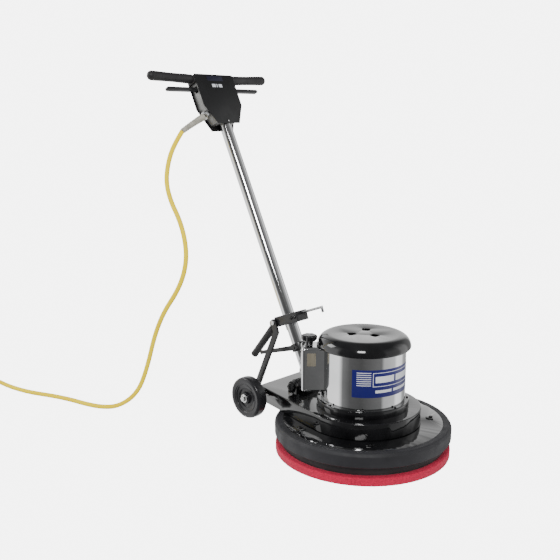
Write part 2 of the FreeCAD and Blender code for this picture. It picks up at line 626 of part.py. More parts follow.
def pivot_bolt():
    """Bolt through both ears and the handle's foot, hexagon head right, nut left."""
    side = FOOT_HALF + 1 + EAR_T
    shank = rod_y(PIVOT.x, PIVOT.z, PIVOT_BOLT_R, -side - 2, side + 8)
    head = moved(spun(hexagon(BOLT_HEAD, 9), 90, axis=X), PIVOT.x, -side, PIVOT.z)
    nut = moved(spun(hexagon(BOLT_HEAD, 7), -90, axis=X), PIVOT.x, side, PIVOT.z)
    return fused(shank, head, nut)


def running_gear(parts):
    """Axle and two wheels."""
    parts["wheel_axle"] = wheel_axle()
    for name, piece in (("wheel_hub", wheel_hub()), ("wheel_tyre", wheel_tyre())):
        parts[name + "_left"] = piece
        parts[name + "_right"] = mirrored(piece)


# ---------------------------------------------------------------- handle tube and lock

TUBE_TOP = GRIP_U - 75


def handle_tube():
    """Straight tube, its lower end coped to the foot."""
    tube = tube_z(TUBE_R, TUBE_R - TUBE_WALL, 2, TUBE_TOP)
    return leaned(tube.cut(rod_y(0, 0, FOOT_R, -40, 40)))


def handle_foot():
    """Cross barrel that turns on the pivot bolt."""
    barrel = rod_y(0, 0, FOOT_R, -FOOT_HALF, FOOT_HALF)
    return leaned(barrel.cut(rod_y(0, 0, PIVOT_BOLT_R + RUN, -FOOT_HALF, FOOT_HALF)))


def lock_collar():
    """Split ring round the tube with a boss for the lock lever on its right."""
    ring = tube_z(COLLAR_R, 0, COLLAR_U - COLLAR_H / 2, COLLAR_U + COLLAR_H / 2)
    boss = rod_y(5, COLLAR_U, 9, -COLLAR_R - 1, 0)
    pin = rod_y(5, COLLAR_U, 4, -COLLAR_R - 1 - LOCK_T - 2, -COLLAR_R - 1)
    body = fused(ring, boss, pin)
    return leaned(body.cut(tube_z(TUBE_R, 0, 0, 2 * COLLAR_U)))


def lock_lever():
    """Tapered arm with a paddle end, hinged on the collar's pin."""
    y0 = -COLLAR_R - 1.3 - LOCK_T
    hub = rod_y(5, COLLAR_U, 11, y0, y0 + LOCK_T)
    tip = (5 - LOCK_LEN, COLLAR_U + 23)
    arm = prism([(5, y0, COLLAR_U + 8), (5, y0, COLLAR_U - 8), (tip[0], y0, tip[1] - 6),
                 (tip[0], y0, tip[1] + 5)], V(0, LOCK_T, 0))
    end = rod_y(tip[0], tip[1] - 0.5, 6.5, y0, y0 + LOCK_T)
    body = fused(hub, arm, end)
    return leaned(body.cut(rod_y(5, COLLAR_U, 4 + RUN, -60, 0)))


# ---------------------------------------------------------------- clamp block, lever, hook, brace

def tilted(shape):
    """Block piece tipped nose down about the tube at the block's height."""
    return spun(shape, BLOCK_TILT, V(0, 0, BLOCK_U), Y)


def clamp_block():
    """Two-eared block that slides on the tube."""
    low, high = BLOCK_U - BLOCK_H / 2, BLOCK_U + BLOCK_H / 2
    body = tilted(slab(BLOCK_REAR, BLOCK_FRONT, -BLOCK_Y, BLOCK_Y, low, high))
    body = body.makeFillet(3.0, body.Edges)
    ears = [slab(CAM_V, BLOCK_REAR + 6, y, y + 13, EAR_U - 10, EAR_U + 10) for y in (-BLOCK_Y + 2, BLOCK_Y - 15)]
    tips = [rod_y(CAM_V, EAR_U, 10, y, y + 13) for y in (-BLOCK_Y + 2, BLOCK_Y - 15)]
    body = fused(body, *(ears + tips))
    body = body.cut(tube_z(TUBE_R + RUN, 0, 0, 2 * BLOCK_U))
    body = body.cut(rod_y(SLOT_V, EAR_U, CROSS_PIN_R + PIN_FLOAT, -BLOCK_Y, BLOCK_Y))
    body = body.cut(rod_y(CAM_V, EAR_U, CAM_PIN_R, -BLOCK_Y, BLOCK_Y))
    body = body.cut(tilted(rod((BLOCK_FRONT - HOOK_IN, 0, BLOCK_U + HOOK_UP), X, HOOK_R, HOOK_LEN)))
    return leaned(body)


def clamp_fasteners():
    """Cam lever's pin and the two cap screws in the block's right face."""
    pin = rod_y(CAM_V, EAR_U, CAM_PIN_R, -BLOCK_Y - 1, BLOCK_Y + 1)
    screws = [tilted(moved(spun(screw_head(5, 4), 90, axis=X), v, -BLOCK_Y, BLOCK_U)) for v in (30, 45)]
    return Part.makeCompound([leaned(s) for s in [pin] + screws])


def cord_hook():
    """Bent rod that stands out of the block's nose, its end turned down."""
    reach = BLOCK_FRONT + HOOK_LEN
    start = BLOCK_FRONT - HOOK_IN
    stem = rod((start, 0, BLOCK_U + HOOK_UP), X, HOOK_R, reach - start)
    drop = rod((reach, 0, BLOCK_U + HOOK_UP + HOOK_R), V(0, 0, -1), HOOK_R, HOOK_TURN + HOOK_R)
    return leaned(tilted(fused(stem, drop)))


def cam_frame(shape):
    """Cam lever piece, drawn along -X from its pin, dropped to its rest angle."""
    return leaned(moved(spun(shape, -CAM_DROP, axis=Y), CAM_V, 0, EAR_U))


def cam_lever():
    """Forked cam hub and the lever's core rod."""
    hub = rod_y(0, 0, CAM_HUB_R, -9, 9)
    neck = rod((0, 0, 0), V(-1, 0, 0), 5, 30)
    core = rod((-28, 0, 0), V(-1, 0, 0), 6, CAM_LEN - 40)
    return cam_frame(fused(hub, neck, core).cut(rod_y(0, 0, CAM_PIN_R + RUN, -9, 9)))


def cam_grip():
    """Moulded grip over the lever's core, its edges rounded."""
    grip = rod((-22, 0, 0), V(-1, 0, 0), CAM_GRIP_R, CAM_LEN - 22)
    grip = grip.makeFillet(3.0, [e for e in grip.Edges if e.Length > 50 and e.BoundBox.XLength < 1])
    bore = rod((-22, 0, 0), V(-1, 0, 0), 5, 6)
    socket = rod((-28, 0, 0), V(-1, 0, 0), 6, CAM_LEN - 40)
    return cam_frame(grip.cut(bore).cut(socket))


def world(v, y, u):
    """Point given upright over the pivot, in the leaned handle's place."""
    lean = math.radians(LEAN)
    return V(PIVOT.x + v * math.cos(lean) - u * math.sin(lean), y,
             PIVOT.z + v * math.sin(lean) + u * math.cos(lean))


def flat_bar(a, b, width, thickness, over):
    """Flat bar between two points, its width towards X, run past both ends."""
    along = V(b - a).normalize()
    across = (X - along * X.dot(along)).normalize()
    normal = along.cross(across)
    start = a - along * over
    corner = start - across * (width / 2) - normal * (thickness / 2)
    sides = [corner, corner + across * width, corner + across * width + normal * thickness,
             corner + normal * thickness]
    return prism([tuple(p) for p in sides], along * ((b - a).Length + 2 * over))


def brace_leg():
    """Bent flat bar from the cross pin down and out to the axle, on the machine's left."""
    top = world(SLOT_V, BLOCK_Y + 4.5, EAR_U)
    bend = V(top.x + 13, top.y, top.z - 28)
    low = V(AXLE_X, LEG_Y, AXLE_Z + 34)
    eye = V(AXLE_X, LEG_Y, AXLE_Z)
    bars = [flat_bar(a, b, LEG_W, LEG_T, 2.0) for a, b in ((top, bend), (bend, low), (low, eye))]
    top_eye = rod_y(top.x, top.z, 11, top.y - LEG_T / 2, top.y + LEG_T / 2)
    low_eye = rod_y(eye.x, eye.z, 14, LEG_Y - LEG_T / 2, LEG_Y + LEG_T / 2)
    leg = fused(top_eye, low_eye, *bars)
    leg = leg.cut(rod_y(eye.x, eye.z, AXLE_R + RUN, LEG_Y - 20, LEG_Y + 20))
    return leg.cut(rod_y(top.x, top.z, CROSS_PIN_R, 0, 60))


def cross_pin():
    """Pin that ties the two legs together through the block's slots, with a head at each end."""
    at = world(SLOT_V, 0, EAR_U)
    side = BLOCK_Y + 4.5 + LEG_T / 2
    pin = rod_y(at.x, at.z, CROSS_PIN_R, -side, side)
    head = rod_y(at.x, at.z, CROSS_PIN_R + 3, side, side + 3.5)
    return fused(pin, head, mirrored(head))


def handle_hardware(parts):
    """Tube, foot, lock, block, hook, lever and brace."""
    parts["handle_tube"] = handle_tube()
    parts["handle_foot"] = handle_foot()
    parts["lock_collar"] = lock_collar()
    parts["lock_lever"] = lock_lever()
    parts["clamp_block"] = clamp_block()
    parts["clamp_fasteners"] = clamp_fasteners()
    parts["cord_hook"] = cord_hook()
    parts["cam_lever"] = cam_lever()
    parts["cam_grip"] = cam_grip()
    parts["brace_leg_left"] = brace_leg()
    parts["brace_leg_right"] = mirrored(brace_leg())
    parts["cross_pin"] = cross_pin()


# ---------------------------------------------------------------- handle head

def head_outline(inset, extra, x0, x1):
    """Plate outline: straight sides, then a taper to a narrow foot."""
    top = GRIP_U + PLATE_TOP - inset
    knee = GRIP_U + PLATE_TOP - PLATE_SIDE
    foot = GRIP_U + PLATE_TOP - PLATE_LEN - extra + inset
    half, narrow = PLATE_HALF - inset, PLATE_FOOT - inset * 0.6
    corners = [(x0, -half, top), (x0, half, top), (x0, half, knee), (x0, narrow, foot), (x0, -narrow, foot),
               (x0, -half, knee)]
    return prism(corners, V(x1 - x0, 0, 0))


def head_body():
    """Cast body between the plates: a wall that follows the outline, open below for the tube."""
    x = TUBE_R + 0.05
    wall = head_outline(INSET, 0, -x, x).cut(head_outline(INSET + HEAD_WALL, 0, -x, x))
    foot = GRIP_U + PLATE_TOP - PLATE_LEN
    wall = wall.cut(slab(-x, x, -TUBE_R, TUBE_R, foot - 5, foot + 40))
    wall = wall.cut(rod_y(0, GRIP_U, BAR_R + 1.5, -100, 100))
    window = slab(-TRIGGER_T / 2 - 1, TRIGGER_T / 2 + 1, -100, 100,
                  GRIP_U + TRIGGER_U - TRIGGER_H / 2 - 5, GRIP_U + TRIGGER_U + TRIGGER_H / 2 + 6)
    wall = wall.cut(window)
    return leaned(wall)


def raised(shape):
    """Left-hand piece tipped up at its outer end about the head's middle."""
    return spun(shape, GRIP_RAISE, V(0, 0, GRIP_U), X)


def grip_bar():
    """Steel bar through the head, bent up a little each side."""
    half = raised(rod_y(0, GRIP_U, BAR_R, 0, GRIP_END - 12))
    middle = Part.makeSphere(BAR_R, V(0, 0, GRIP_U))
    return leaned(fused(half, mirrored(half), middle))


def hand_grip():
    """Moulded grip with a domed end, on the machine's left."""
    start, dome = PLATE_HALF + 1, GRIP_END - GRIP_R
    sleeve = rod_y(0, GRIP_U, GRIP_R, start, dome)
    ball = Part.makeSphere(GRIP_R, V(0, dome, GRIP_U))
    collar = slab(-COLLAR_HALF, COLLAR_HALF, start - COLLAR_IN, start, GRIP_U - COLLAR_DROP, GRIP_U + COLLAR_RISE)
    grip = fused(sleeve, ball, collar).cut(rod_y(0, GRIP_U, BAR_R, 0, GRIP_END - 12))
    return leaned(raised(grip))


def trigger():
    """Flat lever under the grip, hinged inside the head, on the machine's left."""
    u = GRIP_U + TRIGGER_U
    bar = slab(-TRIGGER_T / 2, TRIGGER_T / 2, TRIGGER_Y - 10, TRIGGER_END, u - TRIGGER_H / 2, u + TRIGGER_H / 2)
    ends = [e for e in bar.Edges if e.BoundBox.XLength > 5 and e.CenterOfMass.y > TRIGGER_Y]
    bar = bar.makeFillet(TRIGGER_H / 2 - 0.5, ends)
    return leaned(bar.cut(rod((-20, TRIGGER_Y, u), X, TRIGGER_PIN_R + RUN, 40)))


def head_fasteners():
    """Trigger pins between the plates and the screws in the plates."""
    u = GRIP_U + TRIGGER_U
    pins = [rod((-TUBE_R, y, u), X, TRIGGER_PIN_R, 2 * TUBE_R) for y in (-TRIGGER_Y, TRIGGER_Y)]
    face = TUBE_R + 0.05 + PLATE_T
    head = spun(screw_head(3.5, 2), 90, axis=Y)
    places = [(0, -150), (-62, -6), (62, -6), (-62, -80), (62, -80)]
    front = [moved(head, face, y, GRIP_U + u1) for y, u1 in places[:1]]
    back = [moved(spun(screw_head(3.5, 2), -90, axis=Y), -face, y, GRIP_U + u1) for y, u1 in places]
    return Part.makeCompound([leaned(s) for s in pins + front + back])


def sleeve_route():
    """Mouth, knee and end of the cord's sleeve, below the head's slanted wall."""
    mouth = world(0, MOUTH_Y, GRIP_U - MOUTH_DROP)
    return [mouth] + [mouth + V(*step) for step in SLEEVE_STEPS]


def cord_connector():
    """Two-screw cable clamp on the head's slanted right wall."""
    base = V(0, CONNECTOR_Y, GRIP_U - CONNECTOR_DROP)
    normal = V(0, -63, -35).normalize()
    body = Part.makeCylinder(CONNECTOR_R, CONNECTOR_LEN, base - normal * 2, normal)
    turn = math.degrees(math.atan2(-normal.y, normal.z))
    saddle = spun(slab(-17, 17, -6, 6, 8, 22), turn, axis=X).translated(base)
    mouth, knee = sleeve_route()[:2]
    body = leaned(fused(body, saddle)).cut(head_body())
    return body.cut(Part.makeCylinder(SLEEVE_R0, 60, mouth, knee - mouth))


def strain_relief():
    """Tapered sleeve from the connector to where the cord hangs free."""
    a, b, c = sleeve_route()
    middle = (SLEEVE_R0 + SLEEVE_R1) / 2
    first = Part.makeCone(SLEEVE_R0, middle, (b - a).Length, a, b - a)
    last = Part.makeCone(middle, SLEEVE_R1, (c - b).Length, b, c - b)
    return fused(first, Part.makeSphere(middle, b), last)


def switch_box():
    """Switch block between the two triggers' inner ends."""
    u = GRIP_U + TRIGGER_U
    return leaned(slab(-14, 14, -32, 32, u - 18, u + 12))


def handle_head(parts):
    """Plates, cast body, bar, grips, triggers and switch."""
    x = TUBE_R + 0.05
    parts["head_body"] = head_body()
    parts["head_front_plate"] = leaned(head_outline(0, 0, x, x + PLATE_T))
    parts["head_back_plate"] = leaned(head_outline(0, BACK_EXTRA, -x - PLATE_T, -x))
    parts["grip_bar"] = grip_bar()
    parts["hand_grip_left"] = hand_grip()
    parts["hand_grip_right"] = mirrored(hand_grip())
    parts["trigger_left"] = trigger()
    parts["trigger_right"] = mirrored(trigger())
    parts["head_fasteners"] = head_fasteners()
    parts["switch_box"] = switch_box()
    parts["cord_connector"] = cord_connector()
    parts["strain_relief"] = strain_relief()


# ---------------------------------------------------------------- cord

def coil_side():
    """Width and height of the coil's section."""
    return [(count - 1) * CORD_PITCH + 2 * CORD_R for count in (COIL_WIDE, COIL_HIGH)]


def cord_coil():
    """Outer shape of the neat coil that the rest of the cord lies in."""
    wide, high = coil_side()
    ring = tube_z(COIL_R + wide / 2, COIL_R - wide / 2, 0, high)
    ring = ring.makeFillet(CORD_R - 1, [e for e in ring.Edges if e.Length > 100])
    return ring.translated(COIL_CENTRE)


def mains_plug():
    """Grounded plug lying on the coil, its blades forward."""
    z = coil_side()[1] + PLUG_R
    x0 = PLUG_X + PLUG_RELIEF
    relief = Part.makeCone(8, PLUG_R - 2, PLUG_RELIEF, V(PLUG_X, PLUG_Y, z), X)
    body = rod((x0, PLUG_Y, z), X, PLUG_R, PLUG_LEN)
    end = x0 + PLUG_LEN
    blade = slab(end, end + BLADE_LEN, PLUG_Y - 0.75, PLUG_Y + 0.75, z - BLADE_W / 2, z + BLADE_W / 2)
    blades = [moved(blade, 0, side, -2) for side in (-BLADE_GAP / 2, BLADE_GAP / 2)]
    earth = rod((end, PLUG_Y, z + 8), X, EARTH_R, BLADE_LEN + 2)
    return fused(body, relief, earth, *blades)


def cord(parts):
    """Free cord, its coil and its plug."""
    tube = round_route(CORD_ROUTE, CORD_R, "cord")
    coil = cord_coil()
    parts["mains_cord"] = tube.cut(coil)
    parts["cord_coil"] = coil
    parts["mains_plug"] = mains_plug()


# ---------------------------------------------------------------- build

def main():
    parts = {}
    pad_and_driver(parts)
    gear_train(parts)
    parts["deck_housing"] = deck_housing()
    parts["bumper"] = bumper()
    parts["gearbox_case"] = gearbox_case()
    parts["frame_casting"] = frame_casting()
    parts["base_fasteners"] = base_fasteners()
    motor(parts)
    box_group(parts)
    running_gear(parts)
    handle_hardware(parts)
    handle_head(parts)
    cord(parts)
    os.makedirs("parts", exist_ok=True)
    for name, shape in parts.items():
        if not shape.isValid() or not shape.Solids:
            raise RuntimeError("bad solid: " + name)
        shape.exportStep("parts/%s.step" % name)
    print(len(parts), "nodes")


main()
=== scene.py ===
import json
import math
import bmesh
import bpy
import numpy as np
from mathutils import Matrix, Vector


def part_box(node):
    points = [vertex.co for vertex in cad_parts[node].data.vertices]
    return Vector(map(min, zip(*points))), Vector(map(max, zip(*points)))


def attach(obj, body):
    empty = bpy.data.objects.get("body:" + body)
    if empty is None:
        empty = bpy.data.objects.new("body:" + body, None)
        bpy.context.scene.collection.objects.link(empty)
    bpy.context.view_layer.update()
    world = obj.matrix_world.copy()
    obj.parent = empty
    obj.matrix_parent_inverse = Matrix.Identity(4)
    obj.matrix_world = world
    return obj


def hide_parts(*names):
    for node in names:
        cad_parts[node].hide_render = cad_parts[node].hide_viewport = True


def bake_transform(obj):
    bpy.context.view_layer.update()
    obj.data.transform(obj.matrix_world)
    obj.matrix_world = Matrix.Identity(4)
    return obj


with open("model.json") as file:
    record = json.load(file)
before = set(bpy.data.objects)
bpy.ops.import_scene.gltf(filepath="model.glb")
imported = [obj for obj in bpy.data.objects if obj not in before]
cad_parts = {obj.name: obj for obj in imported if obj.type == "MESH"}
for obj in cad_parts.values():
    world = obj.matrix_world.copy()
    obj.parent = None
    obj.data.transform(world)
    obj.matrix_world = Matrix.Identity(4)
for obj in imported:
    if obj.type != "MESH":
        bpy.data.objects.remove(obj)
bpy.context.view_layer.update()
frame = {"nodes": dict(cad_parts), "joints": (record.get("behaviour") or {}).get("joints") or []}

MM = 0.001
TAU = 2 * math.pi
rng = np.random.default_rng(11)

# ---------------------------------------------------------------- places, all from the frame

joint = {j["name"]: j for j in frame["joints"]}


def span(node):
    """Lowest and highest corner of a CAD node as numpy arrays."""
    low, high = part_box(node)
    return np.array(low), np.array(high)


def radius_of(node):
    """Half of a round node's width."""
    low, high = span(node)
    return (high[0] - low[0]) / 2


PIVOT = np.array(joint["handle_tilt"]["pos_m"], float)
UP_TUBE = np.array(joint["clamp_slide"]["axis"], float)
UP_TUBE = UP_TUBE / np.linalg.norm(UP_TUBE)
SIDE = np.array([0.0, 1.0, 0.0])
AHEAD = np.cross(SIDE, UP_TUBE)


def on_handle(points):
    """Points given as (ahead of the tube, sideways, up the tube) put in the leaned handle's place."""
    p = np.asarray(points, float)
    return PIVOT + p[..., 0:1] * AHEAD + p[..., 1:2] * SIDE + p[..., 2:3] * UP_TUBE


# ---------------------------------------------------------------- camera

def link(name, data):
    """New object at the origin that holds a mesh, curve, lamp or camera."""
    obj = bpy.data.objects.new(name, data)
    bpy.context.scene.collection.objects.link(obj)
    return obj


def camera():
    """Camera at the three-quarter front view, a little above the motor."""
    azimuth, pitch = math.radians(44.0), math.radians(11.51)
    level = math.cos(pitch)
    back = Vector((math.sin(azimuth) * level, -math.cos(azimuth) * level, math.sin(pitch)))
    data = bpy.data.cameras.new("camera")
    data.lens, data.sensor_width = 50.03, 36.0
    obj = link("camera", data)
    obj.location = (1.319, -1.712, 0.9415)
    obj.rotation_mode = "QUATERNION"
    obj.rotation_quaternion = (-back).to_track_quat("-Z", "Y")
    bpy.context.scene.camera = obj


camera()

# ---------------------------------------------------------------- mesh building

def clean(mesh):
    """Merges doubled points at seams and poles and turns every face outwards."""
    work = bmesh.new()
    work.from_mesh(mesh)
    bmesh.ops.remove_doubles(work, verts=work.verts, dist=2e-6)
    bmesh.ops.dissolve_degenerate(work, edges=work.edges, dist=1e-6)
    bmesh.ops.recalc_face_normals(work, faces=work.faces)
    work.to_mesh(mesh)
    work.free()
    return mesh


def quads(rows, columns, offset=0):
    """Corner indices of the quads of a grid of points."""
    i, j = np.meshgrid(np.arange(rows - 1), np.arange(columns - 1), indexing="ij")
    a = (i * columns + j).ravel() + offset
    return np.stack([a, a + 1, a + columns + 1, a + columns], 1)


def surface(name, grids, smooth=40.0):
    """One piece from grids of points, each a function of two parameters; seams and poles are merged."""
    points, faces, count = [], [], 0
    for grid in grids if isinstance(grids, list) else [grids]:
        rows, columns = grid.shape[:2]
        points.append(grid.reshape(-1, 3))
        faces.append(quads(rows, columns, count))
        count += rows * columns
    mesh = bpy.data.meshes.new(name)
    mesh.from_pydata(np.concatenate(points).tolist(), [], np.concatenate(faces).tolist())
    clean(mesh)
    soften(mesh, smooth)
    return link(name, mesh)


def soften(mesh, angle):
    """Smooth shading, kept sharp across edges steeper than an angle."""
    mesh.polygons.foreach_set("use_smooth", np.ones(len(mesh.polygons), bool))
    mesh.set_sharp_from_angle(angle=math.radians(angle))


def rounded(corners, radii, steps=6):
    """Closed outline with each corner replaced by an arc of its own radius: the arc touches both sides,
    and its points divide the turn evenly."""
    p = np.asarray(corners, float)
    radii = np.broadcast_to(np.asarray(radii, float), len(p))
    out = []
    for k in range(len(p)):
        a, b = p[k - 1] - p[k], p[(k + 1) % len(p)] - p[k]
        a, b = a / np.linalg.norm(a), b / np.linalg.norm(b)
        angle = math.acos(float(np.clip(a @ b, -1, 1)))
        if radii[k] <= 0 or angle > math.pi - 1e-4:
            out.append(p[k:k + 1])
            continue
        reach = radii[k] / math.tan(angle / 2)
        middle = p[k] + (a + b) / np.linalg.norm(a + b) * radii[k] / math.sin(angle / 2)
        start, end = p[k] + a * reach - middle, p[k] + b * reach - middle
        turn = math.pi - angle
        t = np.linspace(0, 1, steps + 1)[:, None]
        out.append(middle + (np.sin((1 - t) * turn) * start + np.sin(t * turn) * end) / math.sin(turn))
    return np.concatenate(out)


def closed(outline):
    """Outline with its first point repeated at the end."""
    return np.concatenate([outline, outline[:1]])


def turned(outline, segments=128, axis=2, centre=(0, 0, 0), ripple=None):
    """A profile of (radius, height) carried round an axis: point = radius*cos, radius*sin, height."""
    angle = np.linspace(0, TAU, segments + 1)
    r, h = outline[:, 0][None, :], outline[:, 1][None, :]
    if ripple is not None:
        r = r + ripple(angle[:, None], r, h)
    flat = [r * np.cos(angle)[:, None], r * np.sin(angle)[:, None], h + 0 * angle[:, None]]
    order = {2: (0, 1, 2), 1: (0, 2, 1), 0: (2, 0, 1)}[axis]
    grid = np.stack([flat[k] for k in order], -1)
    return grid + np.asarray(centre, float)


def carried(path, sections):
    """A section carried along a path: each row is the path's point plus the section turned square to the
    path, with its frame passed on from row to row by the least turn. Both ends are closed."""
    path = np.asarray(path, float)
    along = np.gradient(path, axis=0)
    along /= np.linalg.norm(along, axis=1)[:, None]
    first = np.cross(along[0], [0.0, 0.0, 1.0])
    if np.linalg.norm(first) < 1e-3:
        first = np.cross(along[0], [1.0, 0.0, 0.0])
    u = np.zeros_like(path)
    u[0] = first / np.linalg.norm(first)
    for k in range(1, len(path)):
        w = u[k - 1] - along[k] * (u[k - 1] @ along[k])
        u[k] = w / np.linalg.norm(w)
    v = np.cross(along, u)
    grid = path[:, None, :] + sections[..., 0:1] * u[:, None, :] + sections[..., 1:2] * v[:, None, :]
    ends = [np.repeat(grid[k].mean(0)[None, None], grid.shape[1], 1) for k in (0, -1)]
    return np.concatenate([ends[0], grid, ends[1]])


def ring_sections(radii, sides=16):
    """Circles of the given radii, as sections for carried()."""
    angle = np.linspace(0, TAU, sides + 1)
    circle = np.stack([np.cos(angle), np.sin(angle)], -1)
    return np.asarray(radii, float)[:, None, None] * circle[None]


def rounded_box(x0, x1, y0, y1, z0, z1, r, n=8):
    """Box with rounded edges: a rounded outline carried along X, drawn in by r (1 - cos a) as it nears each
    end by r (1 - sin a), with a from 0 to a quarter turn."""
    outline = rounded([(y0, z0), (y1, z0), (y1, z1), (y0, z1)], r, n)
    middle = np.array([(y0 + y1) / 2, (z0 + z1) / 2])
    half = np.array([(y1 - y0) / 2, (z1 - z0) / 2])
    t = np.linspace(0, math.pi / 2, n + 1)
    arc = np.column_stack([r * np.sin(t), r * (1 - np.cos(t))])
    stations = [(x0 + r - a, d) for a, d in arc[::-1]] + [(x1 - r + a, d) for a, d in arc]
    rows = [(stations[0][0], None)] + stations + [(stations[-1][0], None)]
    grid = []
    for x, d in rows:
        scale = 0 * half if d is None else (half - d) / half
        ring = closed(middle + (outline - middle) * scale)
        grid.append(np.column_stack([np.full(len(ring), x), ring]))
    return np.stack(grid)


def finish_piece(obj, body, material, nodes=()):
    """Material, body, slot and the CAD nodes a piece stands for."""
    obj.data.materials.clear()
    obj.data.materials.append(material)
    if body:
        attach(obj, body)
    if nodes:
        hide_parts(*nodes)
    return obj


# ---------------------------------------------------------------- materials

def new_material(name):
    """Empty node material with a Principled shader and Object coordinates."""
    material = bpy.data.materials.new(name)
    material.use_nodes = True
    tree = material.node_tree
    shader = tree.nodes["Principled BSDF"]
    place = tree.nodes.new("ShaderNodeTexCoord")
    return material, tree, shader, place.outputs["Object"]


def noise(tree, place, scale, detail=4.0, roughness=0.55, stretch=None):
    """Noise in object space, with an optional stretch of its axes."""
    node = tree.nodes.new("ShaderNodeTexNoise")
    node.inputs["Scale"].default_value = scale
    node.inputs["Detail"].default_value = detail
    node.inputs["Roughness"].default_value = roughness
    if stretch:
        mapping = tree.nodes.new("ShaderNodeMapping")
        mapping.inputs["Scale"].default_value = stretch
        tree.links.new(place, mapping.inputs["Vector"])
        place = mapping.outputs["Vector"]
    tree.links.new(place, node.inputs["Vector"])
    return node.outputs["Fac"]


def mapped(tree, value, low, high, start=0.35, end=0.65):
    """Value carried from one range to another and held at its ends."""
    node = tree.nodes.new("ShaderNodeMapRange")
    node.inputs["From Min"].default_value = start
    node.inputs["From Max"].default_value = end
    node.inputs["To Min"].default_value = low
    node.inputs["To Max"].default_value = high
    tree.links.new(value, node.inputs["Value"])
    return node.outputs["Result"]


def two_tone(tree, value, dark, light, start=0.35, end=0.65):
    """Colour ramp between two colours."""
    ramp = tree.nodes.new("ShaderNodeValToRGB")
    ramp.color_ramp.elements[0].position = start
    ramp.color_ramp.elements[0].color = (*dark, 1)
    ramp.color_ramp.elements[1].position = end
    ramp.color_ramp.elements[1].color = (*light, 1)
    tree.links.new(value, ramp.inputs["Fac"])
    return ramp.outputs["Color"]


def bump(tree, shader, heights):
    """Bump from (value, distance, strength) layers, chained."""
    last = None
    for value, distance, strength in heights:
        node = tree.nodes.new("ShaderNodeBump")
        node.inputs["Distance"].default_value = distance
        node.inputs["Strength"].default_value = strength
        tree.links.new(value, node.inputs["Height"])
        if last:
            tree.links.new(last, node.inputs["Normal"])
        last = node.outputs["Normal"]
    tree.links.new(last, shader.inputs["Normal"])


def solid_finish(name, dark, light, rough, metallic=0.0, coat=0.0, grain=60.0, grain_depth=0.0,
                 grain_strength=0.25, patch=9.0, stretch=None, fine=900.0, fine_depth=0.0, shine=0.5):
    """General finish: two close tones in soft patches, roughness in smaller ones, grain in the bump."""
    material, tree, shader, place = new_material(name)
    patches = noise(tree, place, patch, 5.0)
    tree.links.new(two_tone(tree, patches, dark, light), shader.inputs["Base Color"])
    smear = noise(tree, place, patch * 3.1, 6.0, 0.6, stretch)
    tree.links.new(mapped(tree, smear, rough[0], rough[1]), shader.inputs["Roughness"])
    shader.inputs["Metallic"].default_value = metallic
    shader.inputs["Coat Weight"].default_value = coat
    shader.inputs["Coat Roughness"].default_value = 0.04
    shader.inputs["Specular IOR Level"].default_value = shine
    layers = []
    if grain_depth:
        layers.append((noise(tree, place, grain, 5.0, 0.6, stretch), grain_depth, grain_strength))
    if fine_depth:
        layers.append((noise(tree, place, fine, 3.0, 0.5), fine_depth, grain_strength))
    if layers:
        bump(tree, shader, layers)
    return material


def enamel():
    """High-gloss black enamel: deep black, faint orange peel, a film of dust in the roughness."""
    material, tree, shader, place = new_material("gloss_black_enamel")
    dust = noise(tree, place, 14.0, 7.0, 0.62)
    tree.links.new(two_tone(tree, dust, (0.0035, 0.0035, 0.004), (0.009, 0.009, 0.010)),
                   shader.inputs["Base Color"])
    tree.links.new(mapped(tree, dust, 0.05, 0.13), shader.inputs["Roughness"])
    shader.inputs["Coat Weight"].default_value = 0.6
    shader.inputs["Coat Roughness"].default_value = 0.03
    bump(tree, shader, [(noise(tree, place, 150.0, 2.0), 0.00025, 0.10)])
    return material


def chrome():
    """Polished chrome with hairline scratches and a few dull smears."""
    material, tree, shader, place = new_material("chrome_plate")
    smear = noise(tree, place, 11.0, 6.0, 0.6)
    tree.links.new(two_tone(tree, smear, (0.80, 0.81, 0.82), (0.90, 0.905, 0.91)),
                   shader.inputs["Base Color"])
    tree.links.new(mapped(tree, smear, 0.035, 0.085), shader.inputs["Roughness"])
    shader.inputs["Metallic"].default_value = 1.0
    hair = noise(tree, place, 260.0, 3.0, 0.5, (1.0, 1.0, 0.04))
    bump(tree, shader, [(hair, 0.00006, 0.12)])
    return material


def zinc():
    """Bright zinc plate: pale metal, cloudy, with a thin blue and straw cast."""
    material, tree, shader, place = new_material("zinc_plate")
    cloud = noise(tree, place, 130.0, 5.0, 0.6)
    tree.links.new(two_tone(tree, cloud, (0.60, 0.60, 0.57), (0.80, 0.81, 0.84)),
                   shader.inputs["Base Color"])
    tree.links.new(mapped(tree, cloud, 0.20, 0.38), shader.inputs["Roughness"])
    shader.inputs["Metallic"].default_value = 1.0
    bump(tree, shader, [(noise(tree, place, 900.0, 3.0), 0.0001, 0.2)])
    return material


def screw_finish():
    """Zinc at the rear, where the pivot bolt is, and blackened steel on the deck and the motor's foot."""
    material, tree, shader, place = new_material("screw_finish")
    split = tree.nodes.new("ShaderNodeSeparateXYZ")
    tree.links.new(place, split.inputs["Vector"])
    share = mapped(tree, split.outputs["X"], 1.0, 0.0, -0.215, -0.205)
    tree.links.new(two_tone(tree, share, (0.035, 0.035, 0.036), (0.66, 0.66, 0.65), 0.0, 1.0),
                   shader.inputs["Base Color"])
    cloud = noise(tree, place, 130.0, 5.0, 0.6)
    tree.links.new(mapped(tree, cloud, 0.24, 0.42), shader.inputs["Roughness"])
    shader.inputs["Metallic"].default_value = 1.0
    return material


